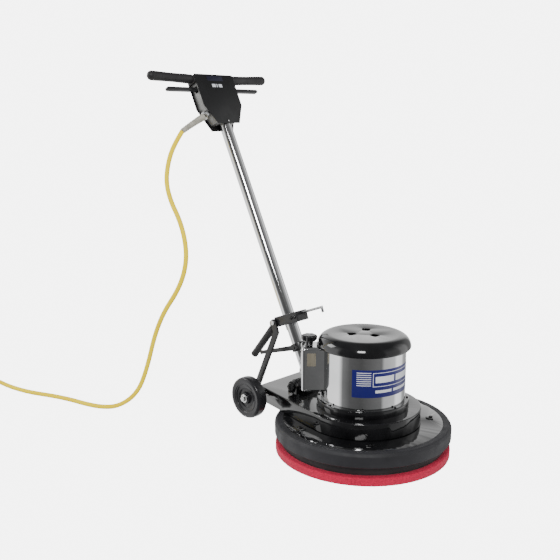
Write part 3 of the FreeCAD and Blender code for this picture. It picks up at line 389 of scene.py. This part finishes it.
def red_fibre():
    """Non-woven nylon: tangled fibres as stretched noise in three directions, sheen."""
    material, tree, shader, place = new_material("red_nylon_fibre")
    tangle = noise(tree, place, 300.0, 6.0, 0.7)
    colour = two_tone(tree, tangle, (0.26, 0.0003, 0.018), (0.72, 0.003, 0.060), 0.30, 0.62)
    tree.links.new(colour, shader.inputs["Base Color"])
    shader.inputs["Roughness"].default_value = 0.85
    shader.inputs["Sheen Weight"].default_value = 0.08
    shader.inputs["Sheen Roughness"].default_value = 0.5
    across = noise(tree, place, 420.0, 4.0, 0.6, (0.25, 1.0, 1.0))
    along = noise(tree, place, 420.0, 4.0, 0.6, (1.0, 0.25, 1.0))
    bump(tree, shader, [(tangle, 0.002, 0.8), (across, 0.0012, 0.6), (along, 0.0012, 0.6)])
    return material


def label_blue():
    """Printed blue vinyl: even ink with a faint speckle."""
    return solid_finish("label_blue", (0.004, 0.005, 0.11), (0.006, 0.007, 0.14), (0.28, 0.38), coat=0.3,
                        grain=500.0, grain_depth=0.00004)


RUBBER = solid_finish("bumper_rubber", (0.013, 0.013, 0.016), (0.024, 0.024, 0.028), (0.50, 0.66),
                      grain=45.0, grain_depth=0.0006, grain_strength=0.12, fine=1400.0, fine_depth=0.0002)
ENAMEL = enamel()
CHROME = chrome()
ZINC = zinc()
SCREWS = screw_finish()
FIBRE = red_fibre()
SATIN = solid_finish("satin_black_paint", (0.006, 0.006, 0.007), (0.014, 0.014, 0.015), (0.26, 0.40),
                     coat=0.15, grain=420.0, grain_depth=0.0003, grain_strength=0.25)
PLATE = solid_finish("plate_black_paint", (0.0025, 0.0025, 0.003), (0.005, 0.005, 0.006), (0.42, 0.52),
                     grain=700.0, grain_depth=0.0002, grain_strength=0.3)
GRIP = solid_finish("grip_black_vinyl", (0.010, 0.009, 0.010), (0.019, 0.018, 0.019), (0.40, 0.56),
                    grain=1100.0, grain_depth=0.0003, grain_strength=0.35)
KNOB = solid_finish("knob_black_phenolic", (0.006, 0.006, 0.007), (0.012, 0.012, 0.013), (0.14, 0.26),
                    coat=0.4, grain=300.0, grain_depth=0.00015)
TYRE = solid_finish("tyre_black", (0.010, 0.010, 0.012), (0.018, 0.018, 0.020), (0.20, 0.34), coat=0.15,
                    grain=120.0, grain_depth=0.0003, grain_strength=0.2, fine=1500.0, fine_depth=0.00015)
HUB = solid_finish("hub_black_plastic", (0.008, 0.008, 0.010), (0.014, 0.014, 0.016), (0.20, 0.32),
                   grain=700.0, grain_depth=0.0001)
CAST = solid_finish("cast_aluminium", (0.23, 0.23, 0.225), (0.34, 0.34, 0.33), (0.42, 0.6), metallic=0.65,
                    grain=380.0, grain_depth=0.0006, grain_strength=0.45, patch=30.0)
STEEL = solid_finish("machined_steel", (0.42, 0.43, 0.44), (0.58, 0.59, 0.60), (0.2, 0.38), metallic=1.0,
                     grain=600.0, grain_depth=0.0001, patch=40.0)
IRON = solid_finish("laminated_iron", (0.09, 0.09, 0.095), (0.2, 0.2, 0.2), (0.45, 0.65), metallic=0.8,
                    grain=900.0, grain_depth=0.0003, stretch=(0.05, 0.05, 1.0))
COPPER = solid_finish("enamelled_copper", (0.32, 0.10, 0.03), (0.66, 0.28, 0.10), (0.25, 0.4), metallic=0.9,
                      grain=500.0, grain_depth=0.0008, grain_strength=0.6, patch=60.0)
BOARD = solid_finish("driver_black_plastic", (0.012, 0.012, 0.013), (0.024, 0.024, 0.025), (0.5, 0.66),
                     grain=500.0, grain_depth=0.0003)
HOOKS = solid_finish("gripping_hooks", (0.012, 0.012, 0.013), (0.05, 0.05, 0.052), (0.8, 0.95),
                     grain=900.0, grain_depth=0.0015, grain_strength=0.8)
YELLOW = solid_finish("cord_yellow_jacket", (0.97, 0.70, 0.0001), (1.0, 0.78, 0.0002), (0.42, 0.55),
                      grain=240.0, grain_depth=0.0003, grain_strength=0.15, patch=12.0, shine=0.12)
SLEEVE = solid_finish("sleeve_grey_rubber", (0.30, 0.29, 0.24), (0.44, 0.42, 0.36), (0.40, 0.55),
                      grain=300.0, grain_depth=0.0003, patch=60.0)
CAN = solid_finish("capacitor_can", (0.5, 0.5, 0.52), (0.62, 0.62, 0.64), (0.3, 0.45), metallic=1.0,
                   grain=200.0, grain_depth=0.0001, stretch=(1.0, 1.0, 0.1))
BLUE = label_blue()
INDIGO = solid_finish("dark_blue_print", (0.003, 0.003, 0.018), (0.005, 0.005, 0.026), (0.40, 0.50),
                      grain=500.0, grain_depth=0.00004)
STICKER = solid_finish("foil_sticker", (0.30, 0.27, 0.20), (0.42, 0.38, 0.30), (0.3, 0.42), metallic=0.6,
                       grain=500.0, grain_depth=0.00004)
WHITE = solid_finish("label_white_print", (0.62, 0.64, 0.68), (0.72, 0.74, 0.78), (0.3, 0.42),
                     grain=500.0, grain_depth=0.00004)

# ---------------------------------------------------------------- cord, made before the other pieces

CORD_R = 7.5 * MM
CORD_ROUTE = [
    (-601, -159, 912), (-613, -184, 871), (-622, -202, 815), (-616, -216, 755), (-587, -222, 700),
    (-546, -224, 650), (-516, -229, 597), (-502, -234, 538), (-511, -241, 478), (-543, -247, 420),
    (-588, -256, 362), (-623, -260, 303), (-646, -264, 246), (-663, -268, 190), (-683, -273, 134),
    (-707, -279, 82), (-743, -294, 37), (-782, -325, 10), (-824, -357, 7.5), (-884, -376, 7.5),
    (-955, -388, 7.5), (-1036, -412, 7.5), (-1118, -447, 7.5), (-1210, -467, 7.5), (-1305, -471, 7.5),
    (-1400, -465.5, 7.5)]
COIL_CENTRE = np.array([-1476.0, -613.9, 0.0])
COIL_ROWS, COIL_LAYERS = 5, 4
COIL_MEAN, TURN_PITCH = 117.0, 15.7
STEP_SHARE = 0.28                   # part of a turn in which the cord steps to its next place
COIL_TURNS = 18.42
POINTS_PER_TURN = 18
SLEEVE_ROUTE = [(-590.5, -82.7, 954.6), (-588.5, -120.7, 939), (-601, -159, 912)]


def coil_points():
    """Turns of the put-away coil: bottom layer from outside in, next layer from inside out, and so on,
    with a smooth step to the next place at the end of each turn."""
    places = []
    for layer in range(COIL_LAYERS):
        rows = range(COIL_ROWS) if layer % 2 else range(COIL_ROWS - 1, -1, -1)
        places += [(COIL_MEAN + (row - (COIL_ROWS - 1) / 2) * TURN_PITCH, CORD_R / MM + layer * TURN_PITCH)
                   for row in rows]
    places = np.array(places)
    turn = np.arange(1, int(COIL_TURNS * POINTS_PER_TURN)) / POINTS_PER_TURN
    base = np.floor(turn).astype(int)
    step = np.clip((turn - base - (1 - STEP_SHARE)) / STEP_SHARE, 0, 1)
    step = step * step * (3 - 2 * step)
    after = np.minimum(base + 1, len(places) - 1)
    place = places[base] * (1 - step[:, None]) + places[after] * step[:, None]
    swell = 4 / (3 + math.cos(TAU / POINTS_PER_TURN))
    angle = math.pi / 2 + turn * TAU
    flat = np.stack([np.cos(angle), np.sin(angle)], 1) * place[:, :1] * swell
    return np.column_stack([COIL_CENTRE[:2] + flat, place[:, 1]])


def tail_points(last):
    """Last stretch: up from the top turn onto the coil and into the plug that lies there."""
    low, high = span("mains_plug")
    rear = np.array([low[0], (low[1] + high[1]) / 2, low[2] + (high[2] - low[2]) * 0.5]) / MM
    return np.array([last * 0.45 + rear * 0.55 + (0, -5, -3), rear + (-16, 0, 0), rear + (4, 0, 0)])


def smooth_line(name, points, steps=5):
    """Points of the NURBS spline of order three that has the given control points."""
    curve = bpy.data.curves.new(name, "CURVE")
    curve.dimensions = "3D"
    curve.resolution_u = steps
    spline = curve.splines.new("NURBS")
    spline.points.add(len(points) - 1)
    for point, place in zip(spline.points, points):
        point.co = (*[float(x) * MM for x in place], 1.0)
    spline.order_u = 3
    spline.use_endpoint_u = True
    holder = link(name, curve)
    bpy.context.view_layer.update()
    mesh = bpy.data.meshes.new_from_object(holder.evaluated_get(bpy.context.evaluated_depsgraph_get()))
    line = np.array([v.co for v in mesh.vertices], float)
    bpy.data.objects.remove(holder)
    bpy.data.meshes.remove(mesh)
    return line


def mains_cord():
    """Yellow cord from the sleeve to the plug; it bends between the handle and the floor."""
    turns = coil_points()
    route = np.concatenate([np.array(CORD_ROUTE, float), turns, tail_points(turns[-1])])
    line = smooth_line("cord_line", route)
    grid = carried(line, ring_sections(np.full(len(line), CORD_R), 12))
    cord = surface("mains_cord_jacket", grid, 60.0)
    cord.data.materials.append(YELLOW)
    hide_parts("mains_cord", "cord_coil")
    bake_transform(cord)
    return cord, line


def cord_sleeve():
    """Ribbed strain relief: radius = 10.7 - 2.4 t + 0.7 sin(13 turns of t) mm, t from 0 at the head to 1."""
    route = smooth_line("sleeve_line", [np.array(p, float) for p in SLEEVE_ROUTE], 60)
    t = np.linspace(0, 1, len(route))
    radius = (10.7 - 2.4 * t + 0.7 * np.sin(t * TAU * 13)) * MM
    radius[0] = radius[1] = 11.4 * MM
    sleeve = surface("cord_sleeve", carried(route, ring_sections(radius, 32)), 50.0)
    return finish_piece(sleeve, "handle", SLEEVE, ["strain_relief"])


BLADE_LEN, BLADE_GAP, BLADE_T, BLADE_W = 17 * MM, 12.7 * MM, 1.5 * MM, 6 * MM
EARTH_R, EARTH_OVER, ROOT = 2.4 * MM, 1.5 * MM, 3 * MM


def mains_plug():
    """Moulded plug: a profile turned about its own length, waisted for the fingers, with two flat blades
    and a round earth pin."""
    low, high = span("mains_plug")
    radius = (high[1] - low[1]) / 2
    y, z = (low[1] + high[1]) / 2, high[2] - radius
    face = high[0] - BLADE_LEN - 2 * MM
    length = face - low[0]
    shares = [(0, 0), (0, 0.60), (0.10, 0.58), (0.27, 0.80), (0.34, 0.98), (0.50, 0.90),
              (0.66, 0.92), (0.82, 1.0), (0.97, 1.0), (1.0, 0.93), (1.0, 0)]
    profile = rounded([(b * radius, low[0] + a * length) for a, b in shares],
                      [m * MM for m in (0, 1, 3, 3, 4, 6, 6, 5, 1, 1, 0)], 5)
    body = surface("plug_body", turned(profile, 64, axis=0, centre=(0, y, z)), 45.0)
    finish_piece(body, "base", YELLOW, ["mains_plug"])
    pieces = [body]
    for name, sign in (("left", 1), ("right", -1)):
        side = y + sign * BLADE_GAP / 2
        blade = rounded_box(face - ROOT, face + BLADE_LEN, side - BLADE_T / 2, side + BLADE_T / 2,
                            z - 2 * MM - BLADE_W / 2, z - 2 * MM + BLADE_W / 2, 0.7 * MM, 3)
        pieces.append(finish_piece(surface("plug_blade_" + name, blade, 40.0), "base", STEEL))
    tip = face + BLADE_LEN + EARTH_OVER
    pin = rounded([(0, face - ROOT), (EARTH_R, face - ROOT), (EARTH_R, tip), (0, tip)], [0, 0, 2 * MM, 0], 5)
    earth = surface("plug_earth_pin", turned(pin, 32, axis=0, centre=(0, y, z + 8 * MM)), 40.0)
    pieces.append(finish_piece(earth, "base", STEEL))
    return pieces


cord_piece, cord_line = mains_cord()
sleeve_piece = cord_sleeve()
plug_pieces = mains_plug()

# ---------------------------------------------------------------- pad and bumper

def floor_pad():
    """Fibre disc: a turned profile with soft corners, its wall roughened by sums of sines of the angle."""
    low, high = span("floor_pad")
    radius, top = (high[0] - low[0]) / 2 - 0.4 * MM, high[2] - 0.3 * MM
    base = 0.2 * MM
    outline = rounded([(0, base), (radius, base), (radius, top), (0, top)], [0, 3.5 * MM, 3 * MM, 0], 6)
    wall = np.linspace(4 * MM, top - 4 * MM, 8)
    cut = np.argmax(outline[:, 1] > 8 * MM)
    outline = np.concatenate([outline[:cut], np.column_stack([np.full(8, radius), wall]), outline[cut:]])
    phase = rng.uniform(0, TAU, 40)
    waves = rng.integers(30, 420, 40)

    def fuzz(angle, r, h):
        rough = sum(np.sin(n * angle + p + h * 700 * math.cos(p)) for n, p in zip(waves, phase))
        return (rough * 0.055 - 0.4) * MM * (r > radius * 0.9)
    pad = surface("floor_pad_fibre", turned(outline, 720, ripple=fuzz), 60.0)
    return finish_piece(pad, "pad_drive", FIBRE, ["floor_pad"])


def bumper_ring():
    """Rubber ring: turned profile with a broad rounded top edge and a drawn-in lower lip."""
    low, high = span("bumper")
    outer, base, top = (high[0] - low[0]) / 2, low[2], high[2]
    inner = radius_of("deck_housing") + 0.2 * MM
    corners = [(inner, base + 3 * MM), (outer - 5 * MM, base), (outer - 0.3 * MM, base + 4 * MM),
               (outer, top - 9 * MM), (outer - 6 * MM, top), (inner, top), (inner, top - 2 * MM)]
    outline = rounded(corners, [m * MM for m in (0.5, 1.6, 3, 6, 7, 1.4, 0.4)], 8)
    ring = surface("bumper_ring", turned(closed(outline), 256), 50.0)
    return finish_piece(ring, "base", RUBBER, ["bumper"])


# ---------------------------------------------------------------- motor: shroud, cap, label

SHROUD_R = radius_of("motor_shroud")
SHROUD_Z0, SHROUD_Z1 = (corner[2] for corner in span("motor_shroud"))


def shroud():
    """Chrome sleeve: a plain turned wall, 1.4 mm thick."""
    wall = 1.4 * MM
    z = np.linspace(0, 1, 60)
    height = SHROUD_Z0 + (SHROUD_Z1 - SHROUD_Z0) * z
    outline = np.concatenate([np.column_stack([np.full(60, SHROUD_R - 0.02 * MM), height]),
                              np.column_stack([np.full(60, SHROUD_R - wall), height[::-1]])])
    sleeve = surface("shroud_sleeve", turned(closed(outline), 256), 40.0)
    return finish_piece(sleeve, "base", CHROME, ["motor_shroud"])


def band_strip(name, radius, start, stop, z0, z1, material, thickness=0.10 * MM, columns=96):
    """Strip bent round the shroud between two angles in degrees and two heights, closed on all sides."""
    angle = np.radians(np.linspace(start, stop, columns))
    rows = [(radius, z0), (radius + thickness, z0), (radius + thickness, z1), (radius, z1), (radius, z0)]
    grid = np.stack([np.stack([r * np.cos(angle), r * np.sin(angle), np.full(columns, z)], -1)
                     for r, z in rows])
    ends = [np.stack([grid[:, k], np.repeat(grid[:, k].mean(0)[None], 5, 0)]) for k in (0, -1)]
    strip = surface(name, [grid, *ends], 30.0)
    return finish_piece(strip, "base", material)


def label():
    """Blue vinyl band with plain white bars where a maker would print."""
    z0, z1 = 198 * MM, 277 * MM
    base = SHROUD_R + 0.01 * MM
    band_strip("label_band", base, -67, 67, z0, z1, BLUE)
    ink = base + 0.09 * MM
    bars = [(-61, -42, 232 + 6 * k, 234 + 6 * k) for k in range(7)]
    bars += [(-39, 62, 267.4, 269), (-39, 62, 229, 230.6), (-39.6, -38.8, 229, 269)]
    bars += [(-36, -8, 240, 258), (-5, 24, 240, 258), (28, 58, 240, 258)]
    bars += [(-36, -12, 211, 219), (-9, 20, 211, 219), (23, 52, 211, 219)]
    for k, (a, b, low, high) in enumerate(bars):
        band_strip("label_bar_%d" % k, ink, a, b, low * MM, high * MM, WHITE, 0.07 * MM, 40)


def soften_node(node, width):
    """Weld and bevel a CAD node's edges, with shading kept flat on its flats."""
    obj = frame["nodes"][node]
    weld = obj.modifiers.new("weld", "WELD")
    weld.merge_threshold = 0.00002
    bevel = obj.modifiers.new("bevel", "BEVEL")
    bevel.width, bevel.segments = width * MM, 3
    bevel.limit_method, bevel.angle_limit = "ANGLE", math.radians(35.0)
    bevel.harden_normals = True
    obj.data.polygons.foreach_set("use_smooth", np.ones(len(obj.data.polygons), bool))


# ---------------------------------------------------------------- capacitor box

BOX_TURN = math.atan2(joint["knob_turn"]["pos_m"][1], joint["knob_turn"]["pos_m"][0])


def at_box(points):
    """Points drawn along +X from the motor, turned to the capacitor box."""
    p = np.asarray(points, float)
    c, s = math.cos(BOX_TURN), math.sin(BOX_TURN)
    return np.stack([p[..., 0] * c - p[..., 1] * s, p[..., 0] * s + p[..., 1] * c, p[..., 2]], -1)


BOX_SIDE = 37.52 * MM               # half of the box's width


def box_plate():
    """Plain plate on the capacitor box's side, where a sticker would be."""
    plate = rounded_box(BOX_SIDE, BOX_SIDE + 0.2 * MM, 139 * MM, 164 * MM, 262 * MM, 300 * MM, 0.09 * MM, 3)
    turned_plate = np.stack([plate[..., 1], plate[..., 0], plate[..., 2]], -1)
    piece = surface("box_plate", at_box(turned_plate), 30.0)
    finish_piece(piece, "base", STICKER)


def knob():
    """Seven-lobed knob: a turned profile whose radius swells with the cosine of seven times the angle."""
    x, y, _ = joint["knob_turn"]["pos_m"]
    low, high = span("star_knob")
    base, top = span("capacitor_box")[1][2] + 0.3 * MM, high[2]
    wide, under = (high[0] - low[0]) / 2, top - 17 * MM
    outline = rounded([(0, base), (11 * MM, base), (11.5 * MM, under - 1 * MM),
                       (wide - 2.6 * MM, under + 1 * MM), (wide, under + 4 * MM), (wide, top - 3 * MM),
                       (wide - 4.6 * MM, top), (0, top - 1.2 * MM)],
                      [0, 1 * MM, 2 * MM, 3 * MM, 2 * MM, 3 * MM, 3 * MM, 0], 6)

    def lobes(angle, r, h):
        share = np.clip((r - 12 * MM) / (12 * MM), 0, 1)
        return share * (np.abs(np.cos(3.5 * angle)) - 1) * 4.2 * MM
    piece = surface("knob_star", turned(outline, 252, centre=(x, y, 0), ripple=lobes), 45.0)
    finish_piece(piece, "knob", KNOB, ["star_knob"])


# ---------------------------------------------------------------- wheels

def wheel(side, sign):
    """Tyre with rounded shoulders and a grooved, dished side; hub with a raised boss."""
    low, high = span("wheel_tyre_" + side)
    centre = (low + high) / 2
    half, r = (high[1] - low[1]) / 2, (high[2] - low[2]) / 2
    h = half * sign
    face = np.array([(30, 0.62), (37, 0.70), (40, 0.78), (40.8, 0.86), (42.4, 0.86), (43, 0.80), (45, 0.92),
                     (r / MM - 9, 1.0), (r / MM - 1.5, 0.82), (r / MM, 0.45)])
    outline = [(a * MM, b * h) for a, b in face] + [(a * MM, -b * h) for a, b in face[::-1]]
    radii = [0.6, 1, 0.8, 0.4, 0.4, 0.8, 2, 6, 6, 5]
    outline = rounded(outline, [m * MM for m in radii + radii[::-1]], 5)
    body = "wheel_" + side
    tyre = surface("tyre_" + side, turned(closed(outline), 160, axis=1, centre=centre), 40.0)
    finish_piece(tyre, body, TYRE, ["wheel_tyre_" + side])
    hub_low, hub_high = span("wheel_hub_" + side)
    out = (hub_high[1] if sign > 0 else hub_low[1]) - centre[1]
    back = (hub_low[1] if sign > 0 else hub_high[1]) - centre[1]
    profile = [(8.1, back), (16, back), (17, -0.55 * h), (30.2, -0.55 * h), (30.2, 0.60 * h),
               (27, 0.46 * h), (19, 0.50 * h), (17, out), (8.1, out)]
    profile = rounded([(a * MM, b) for a, b in profile],
                      [m * MM for m in (0.3, 1, 0.8, 0.5, 0.8, 2, 1.5, 1.4, 0.3)], 5)
    hub = surface("hub_" + side, turned(closed(profile), 96, axis=1, centre=centre), 40.0)
    finish_piece(hub, body, HUB, ["wheel_hub_" + side])


# ---------------------------------------------------------------- handle pieces

GRIP_U = 1.0126                     # height of the grip bar, up the tube
GRIP_RAISE = math.radians(2.25)
GRIP_IN, GRIP_OUT = 82 * MM, 247 * MM
GRIP_R, GRIP_DOME = 15 * MM, 14 * MM
DOME_SHARE = 0.915                  # where the dome begins, as a share of the grip
CAM_DROP = math.radians(25.0)       # the lever's slope at rest
CAM_GRIP_IN, CAM_GRIP_OUT, CAM_GRIP_R = 22.5 * MM, 167.6 * MM, 11.8 * MM


def grip(side, sign):
    """Moulded grip: a profile turned along the bar, flared at its inner end and domed at its outer one."""
    t = np.linspace(0, 1, 64)
    along = GRIP_IN + (GRIP_OUT - GRIP_IN) * t
    r = GRIP_R - 0.9 * MM * np.sin(math.pi * np.clip(t / 0.93, 0, 1)) ** 2
    r = r - 0.35 * MM * (np.cos(np.clip((t - 0.08) / 0.8, 0, 1) * TAU * 24) > 0.985)
    dome = np.linspace(0, math.pi / 2, 14)
    flat = np.concatenate([[GRIP_IN], along[t < DOME_SHARE], GRIP_OUT - GRIP_DOME * (1 - np.sin(dome))])
    rad = np.concatenate([[11.1 * MM], r[t < DOME_SHARE], 14.9 * MM * np.cos(dome)])
    angle = np.linspace(0, TAU, 49)
    v = rad[:, None] * np.cos(angle)
    u = rad[:, None] * np.sin(angle)
    y = flat[:, None] + 0 * angle
    c, s = math.cos(GRIP_RAISE), math.sin(GRIP_RAISE)
    local = np.stack([v, sign * (y * c - u * s), GRIP_U + y * s + u * c], -1)
    cap = np.repeat(local[0].mean(0)[None, None], 49, 1)
    block = rounded_box(74.6 * MM, 82.5 * MM, -17.6 * MM, 17.6 * MM, -16.6 * MM, 7.8 * MM, 2.5 * MM, 5)
    y, v, u = block[..., 0], block[..., 1], block[..., 2]
    collar = np.stack([v, sign * (y * c - u * s), GRIP_U + y * s + u * c], -1)
    piece = surface("grip_" + side, [on_handle(np.concatenate([cap, local])), on_handle(collar)], 40.0)
    finish_piece(piece, "handle", GRIP, ["hand_grip_" + side])


def plate_marks():
    """Dark blue strip and three pale bars on the head's front plate, where a maker would print."""
    corners = np.array([v.co for v in frame["nodes"]["head_front_plate"].data.vertices], float) - PIVOT
    front, top, low = (corners @ AHEAD).max(), (corners @ UP_TUBE).max(), (corners @ UP_TUBE).min()
    tall = top - low
    marks = [("plate_strip", -33, 33, 0.035, 0.135, INDIGO, "label_blue")]
    marks += [("plate_bar_%d" % k, y0, y1, 0.20, 0.265, WHITE, "label_white")
              for k, (y0, y1) in enumerate(((-20, -5), (-1, 3), (8, 22)))]
    for name, y0, y1, down0, down1, material, slot_name in marks:
        block = rounded_box(front, front + 0.2 * MM, y0 * MM, y1 * MM,
                            top - down1 * tall, top - down0 * tall, 0.09 * MM, 3)
        finish_piece(surface(name, on_handle(block), 30.0), "handle", material)


def cam_cover():
    """Ribbed grip over the cam lever: a turned profile with rings, along the lever."""
    pin = np.array(joint["cam_lift"]["pos_m"], float)
    way = -math.cos(CAM_DROP) * AHEAD - math.sin(CAM_DROP) * UP_TUBE
    t = np.linspace(0, 1, 180)
    along = CAM_GRIP_IN + (CAM_GRIP_OUT - CAM_GRIP_IN) * t
    edge = np.minimum(t, 1 - t) / 0.035
    shape = np.sqrt(np.clip(1 - (1 - np.clip(edge, 0, 1)) ** 2, 0, 1))
    ribs = 0.55 * MM * (0.5 + 0.5 * np.cos(TAU * 20 * np.clip((t - 0.12) / 0.76, 0, 1)))
    r = np.maximum((CAM_GRIP_R - ribs * ((t > 0.12) & (t < 0.88))) * shape, 0.01 * MM)
    line = pin + way * along[:, None]
    piece = surface("cam_cover", carried(line, ring_sections(r, 40)), 50.0)
    finish_piece(piece, "cam", GRIP, ["cam_grip"])


# ---------------------------------------------------------------- build and dress

floor_pad()
bumper_ring()
shroud()
label()
box_plate()
knob()
for side, sign in (("left", 1), ("right", -1)):
    wheel(side, sign)
    grip(side, sign)
cam_cover()
plate_marks()

DRESS = {
    HOOKS: ["driver_face"],
    BOARD: ["pad_driver", "cooling_fan", "switch_box"],
    STEEL: ["clutch_plate", "drive_hub", "planet_carrier", "planet_gear_1", "planet_gear_2", "planet_gear_3",
            "ring_gear", "bearings", "rotor_shaft", "cord_hook", "grip_bar"],
    ENAMEL: ["deck_housing", "frame_casting", "motor_flange", "motor_cap"],
    CAST: ["gearbox_case", "head_body"],
    SCREWS: ["base_fasteners"],
    CHROME: ["capacitor_box", "handle_tube"],
    IRON: ["motor_can", "stator_core", "rotor_core"],
    COPPER: ["stator_windings"],
    CAN: ["start_capacitor"],
    ZINC: ["wheel_axle", "cross_pin", "head_fasteners", "cord_connector"],
    SATIN: ["handle_foot", "lock_collar", "lock_lever", "clamp_block", "clamp_fasteners", "cam_lever",
            "brace_leg_left", "brace_leg_right", "trigger_left", "trigger_right"],
    PLATE: ["head_front_plate", "head_back_plate"]}
for material, nodes in DRESS.items():
    for node in nodes:
        data = frame["nodes"][node].data
        data.materials.clear()
        data.materials.append(material)

SOFT_EDGES = {                      # width of the softened edge in mm, and the nodes that have it
    0.25: ["head_fasteners", "clamp_fasteners"],
    0.3: ["capacitor_box"],
    0.35: ["base_fasteners"],
    0.4: ["cross_pin", "cam_lever"],
    0.5: ["head_front_plate", "head_back_plate", "cord_hook", "wheel_axle"],
    0.6: ["clamp_block", "head_body", "lock_lever", "cord_connector"],
    0.7: ["lock_collar"],
    0.8: ["motor_flange", "motor_cap", "brace_leg_left", "brace_leg_right", "handle_foot"],
    1.0: ["frame_casting", "switch_box"],
    1.2: ["deck_housing", "trigger_left", "trigger_right"]}
for width, nodes in SOFT_EDGES.items():
    for node in nodes:
        soften_node(node, width)

# ---------------------------------------------------------------- light

def studio():
    """White surround, even for matt surfaces; mirror-like ones see bright and dark bands by azimuth."""
    world = bpy.data.worlds.new("studio")
    world.use_nodes = True
    bpy.context.scene.world = world
    tree = world.node_tree
    tree.nodes.clear()
    out = tree.nodes.new("ShaderNodeOutputWorld")
    coord = tree.nodes.new("ShaderNodeTexCoord")
    split = tree.nodes.new("ShaderNodeSeparateXYZ")
    tree.links.new(coord.outputs["Generated"], split.inputs["Vector"])
    angle = tree.nodes.new("ShaderNodeMath")
    angle.operation = "ARCTAN2"
    tree.links.new(split.outputs["Y"], angle.inputs[0])
    tree.links.new(split.outputs["X"], angle.inputs[1])
    share = tree.nodes.new("ShaderNodeMapRange")
    share.inputs["From Min"].default_value = -math.pi
    share.inputs["From Max"].default_value = math.pi
    tree.links.new(angle.outputs[0], share.inputs["Value"])
    ramp = tree.nodes.new("ShaderNodeValToRGB")
    stops = [(-180, 0.85), (-122, 0.95), (-110, 0.15), (-88, 0.07), (-58, 0.055), (-30, 0.09), (-2, 0.12),
             (6, 0.38), (40, 0.50), (50, 1.0), (70, 0.9), (80, 0.35), (100, 0.25), (112, 0.9), (180, 0.85)]
    for degrees, level in stops[1:-1]:
        stop = ramp.color_ramp.elements.new((degrees + 180) / 360)
        stop.color = (level, level, level, 1)
    for k in (0, len(stops) - 1):
        ramp.color_ramp.elements[k].color = (stops[k][1],) * 3 + (1,)
    tree.links.new(share.outputs["Result"], ramp.inputs["Fac"])
    height = tree.nodes.new("ShaderNodeMapRange")
    height.inputs["From Min"].default_value = 0.35
    height.inputs["From Max"].default_value = 0.75
    tree.links.new(split.outputs["Z"], height.inputs["Value"])
    top = tree.nodes.new("ShaderNodeMixRGB")
    top.inputs["Color2"].default_value = (0.10, 0.10, 0.10, 1)
    tree.links.new(height.outputs["Result"], top.inputs["Fac"])
    tree.links.new(ramp.outputs["Color"], top.inputs["Color1"])
    ray = tree.nodes.new("ShaderNodeLightPath")
    last = None
    for colour, strength, mask in (((0.9, 0.9, 0.9, 1), 1.15, None),
                                   (top.outputs["Color"], 1.4, "Is Glossy Ray"),
                                   ((1, 1, 1, 1), 6.0, "Is Camera Ray")):
        shade = tree.nodes.new("ShaderNodeBackground")
        shade.inputs["Strength"].default_value = strength
        if isinstance(colour, tuple):
            shade.inputs["Color"].default_value = colour
        else:
            tree.links.new(colour, shade.inputs["Color"])
        if mask:
            mix = tree.nodes.new("ShaderNodeMixShader")
            tree.links.new(ray.outputs[mask], mix.inputs["Fac"])
            tree.links.new(last, mix.inputs[1])
            tree.links.new(shade.outputs[0], mix.inputs[2])
            last = mix.outputs[0]
        else:
            last = shade.outputs[0]
    tree.links.new(last, out.inputs["Surface"])
    for name, place, size, power in (("key", (1.6, -2.6, 2.6), 1.0, 60),
                                     ("fill", (-2.8, -1.6, 2.2), 1.2, 26)):
        data = bpy.data.lights.new(name, "AREA")
        data.size, data.energy = size, power
        lamp = link(name, data)
        lamp.location = place
        aim = Vector((-0.3, 0, 0.35)) - Vector(place)
        lamp.rotation_mode = "QUATERNION"
        lamp.rotation_quaternion = aim.to_track_quat("-Z", "Y")


studio()
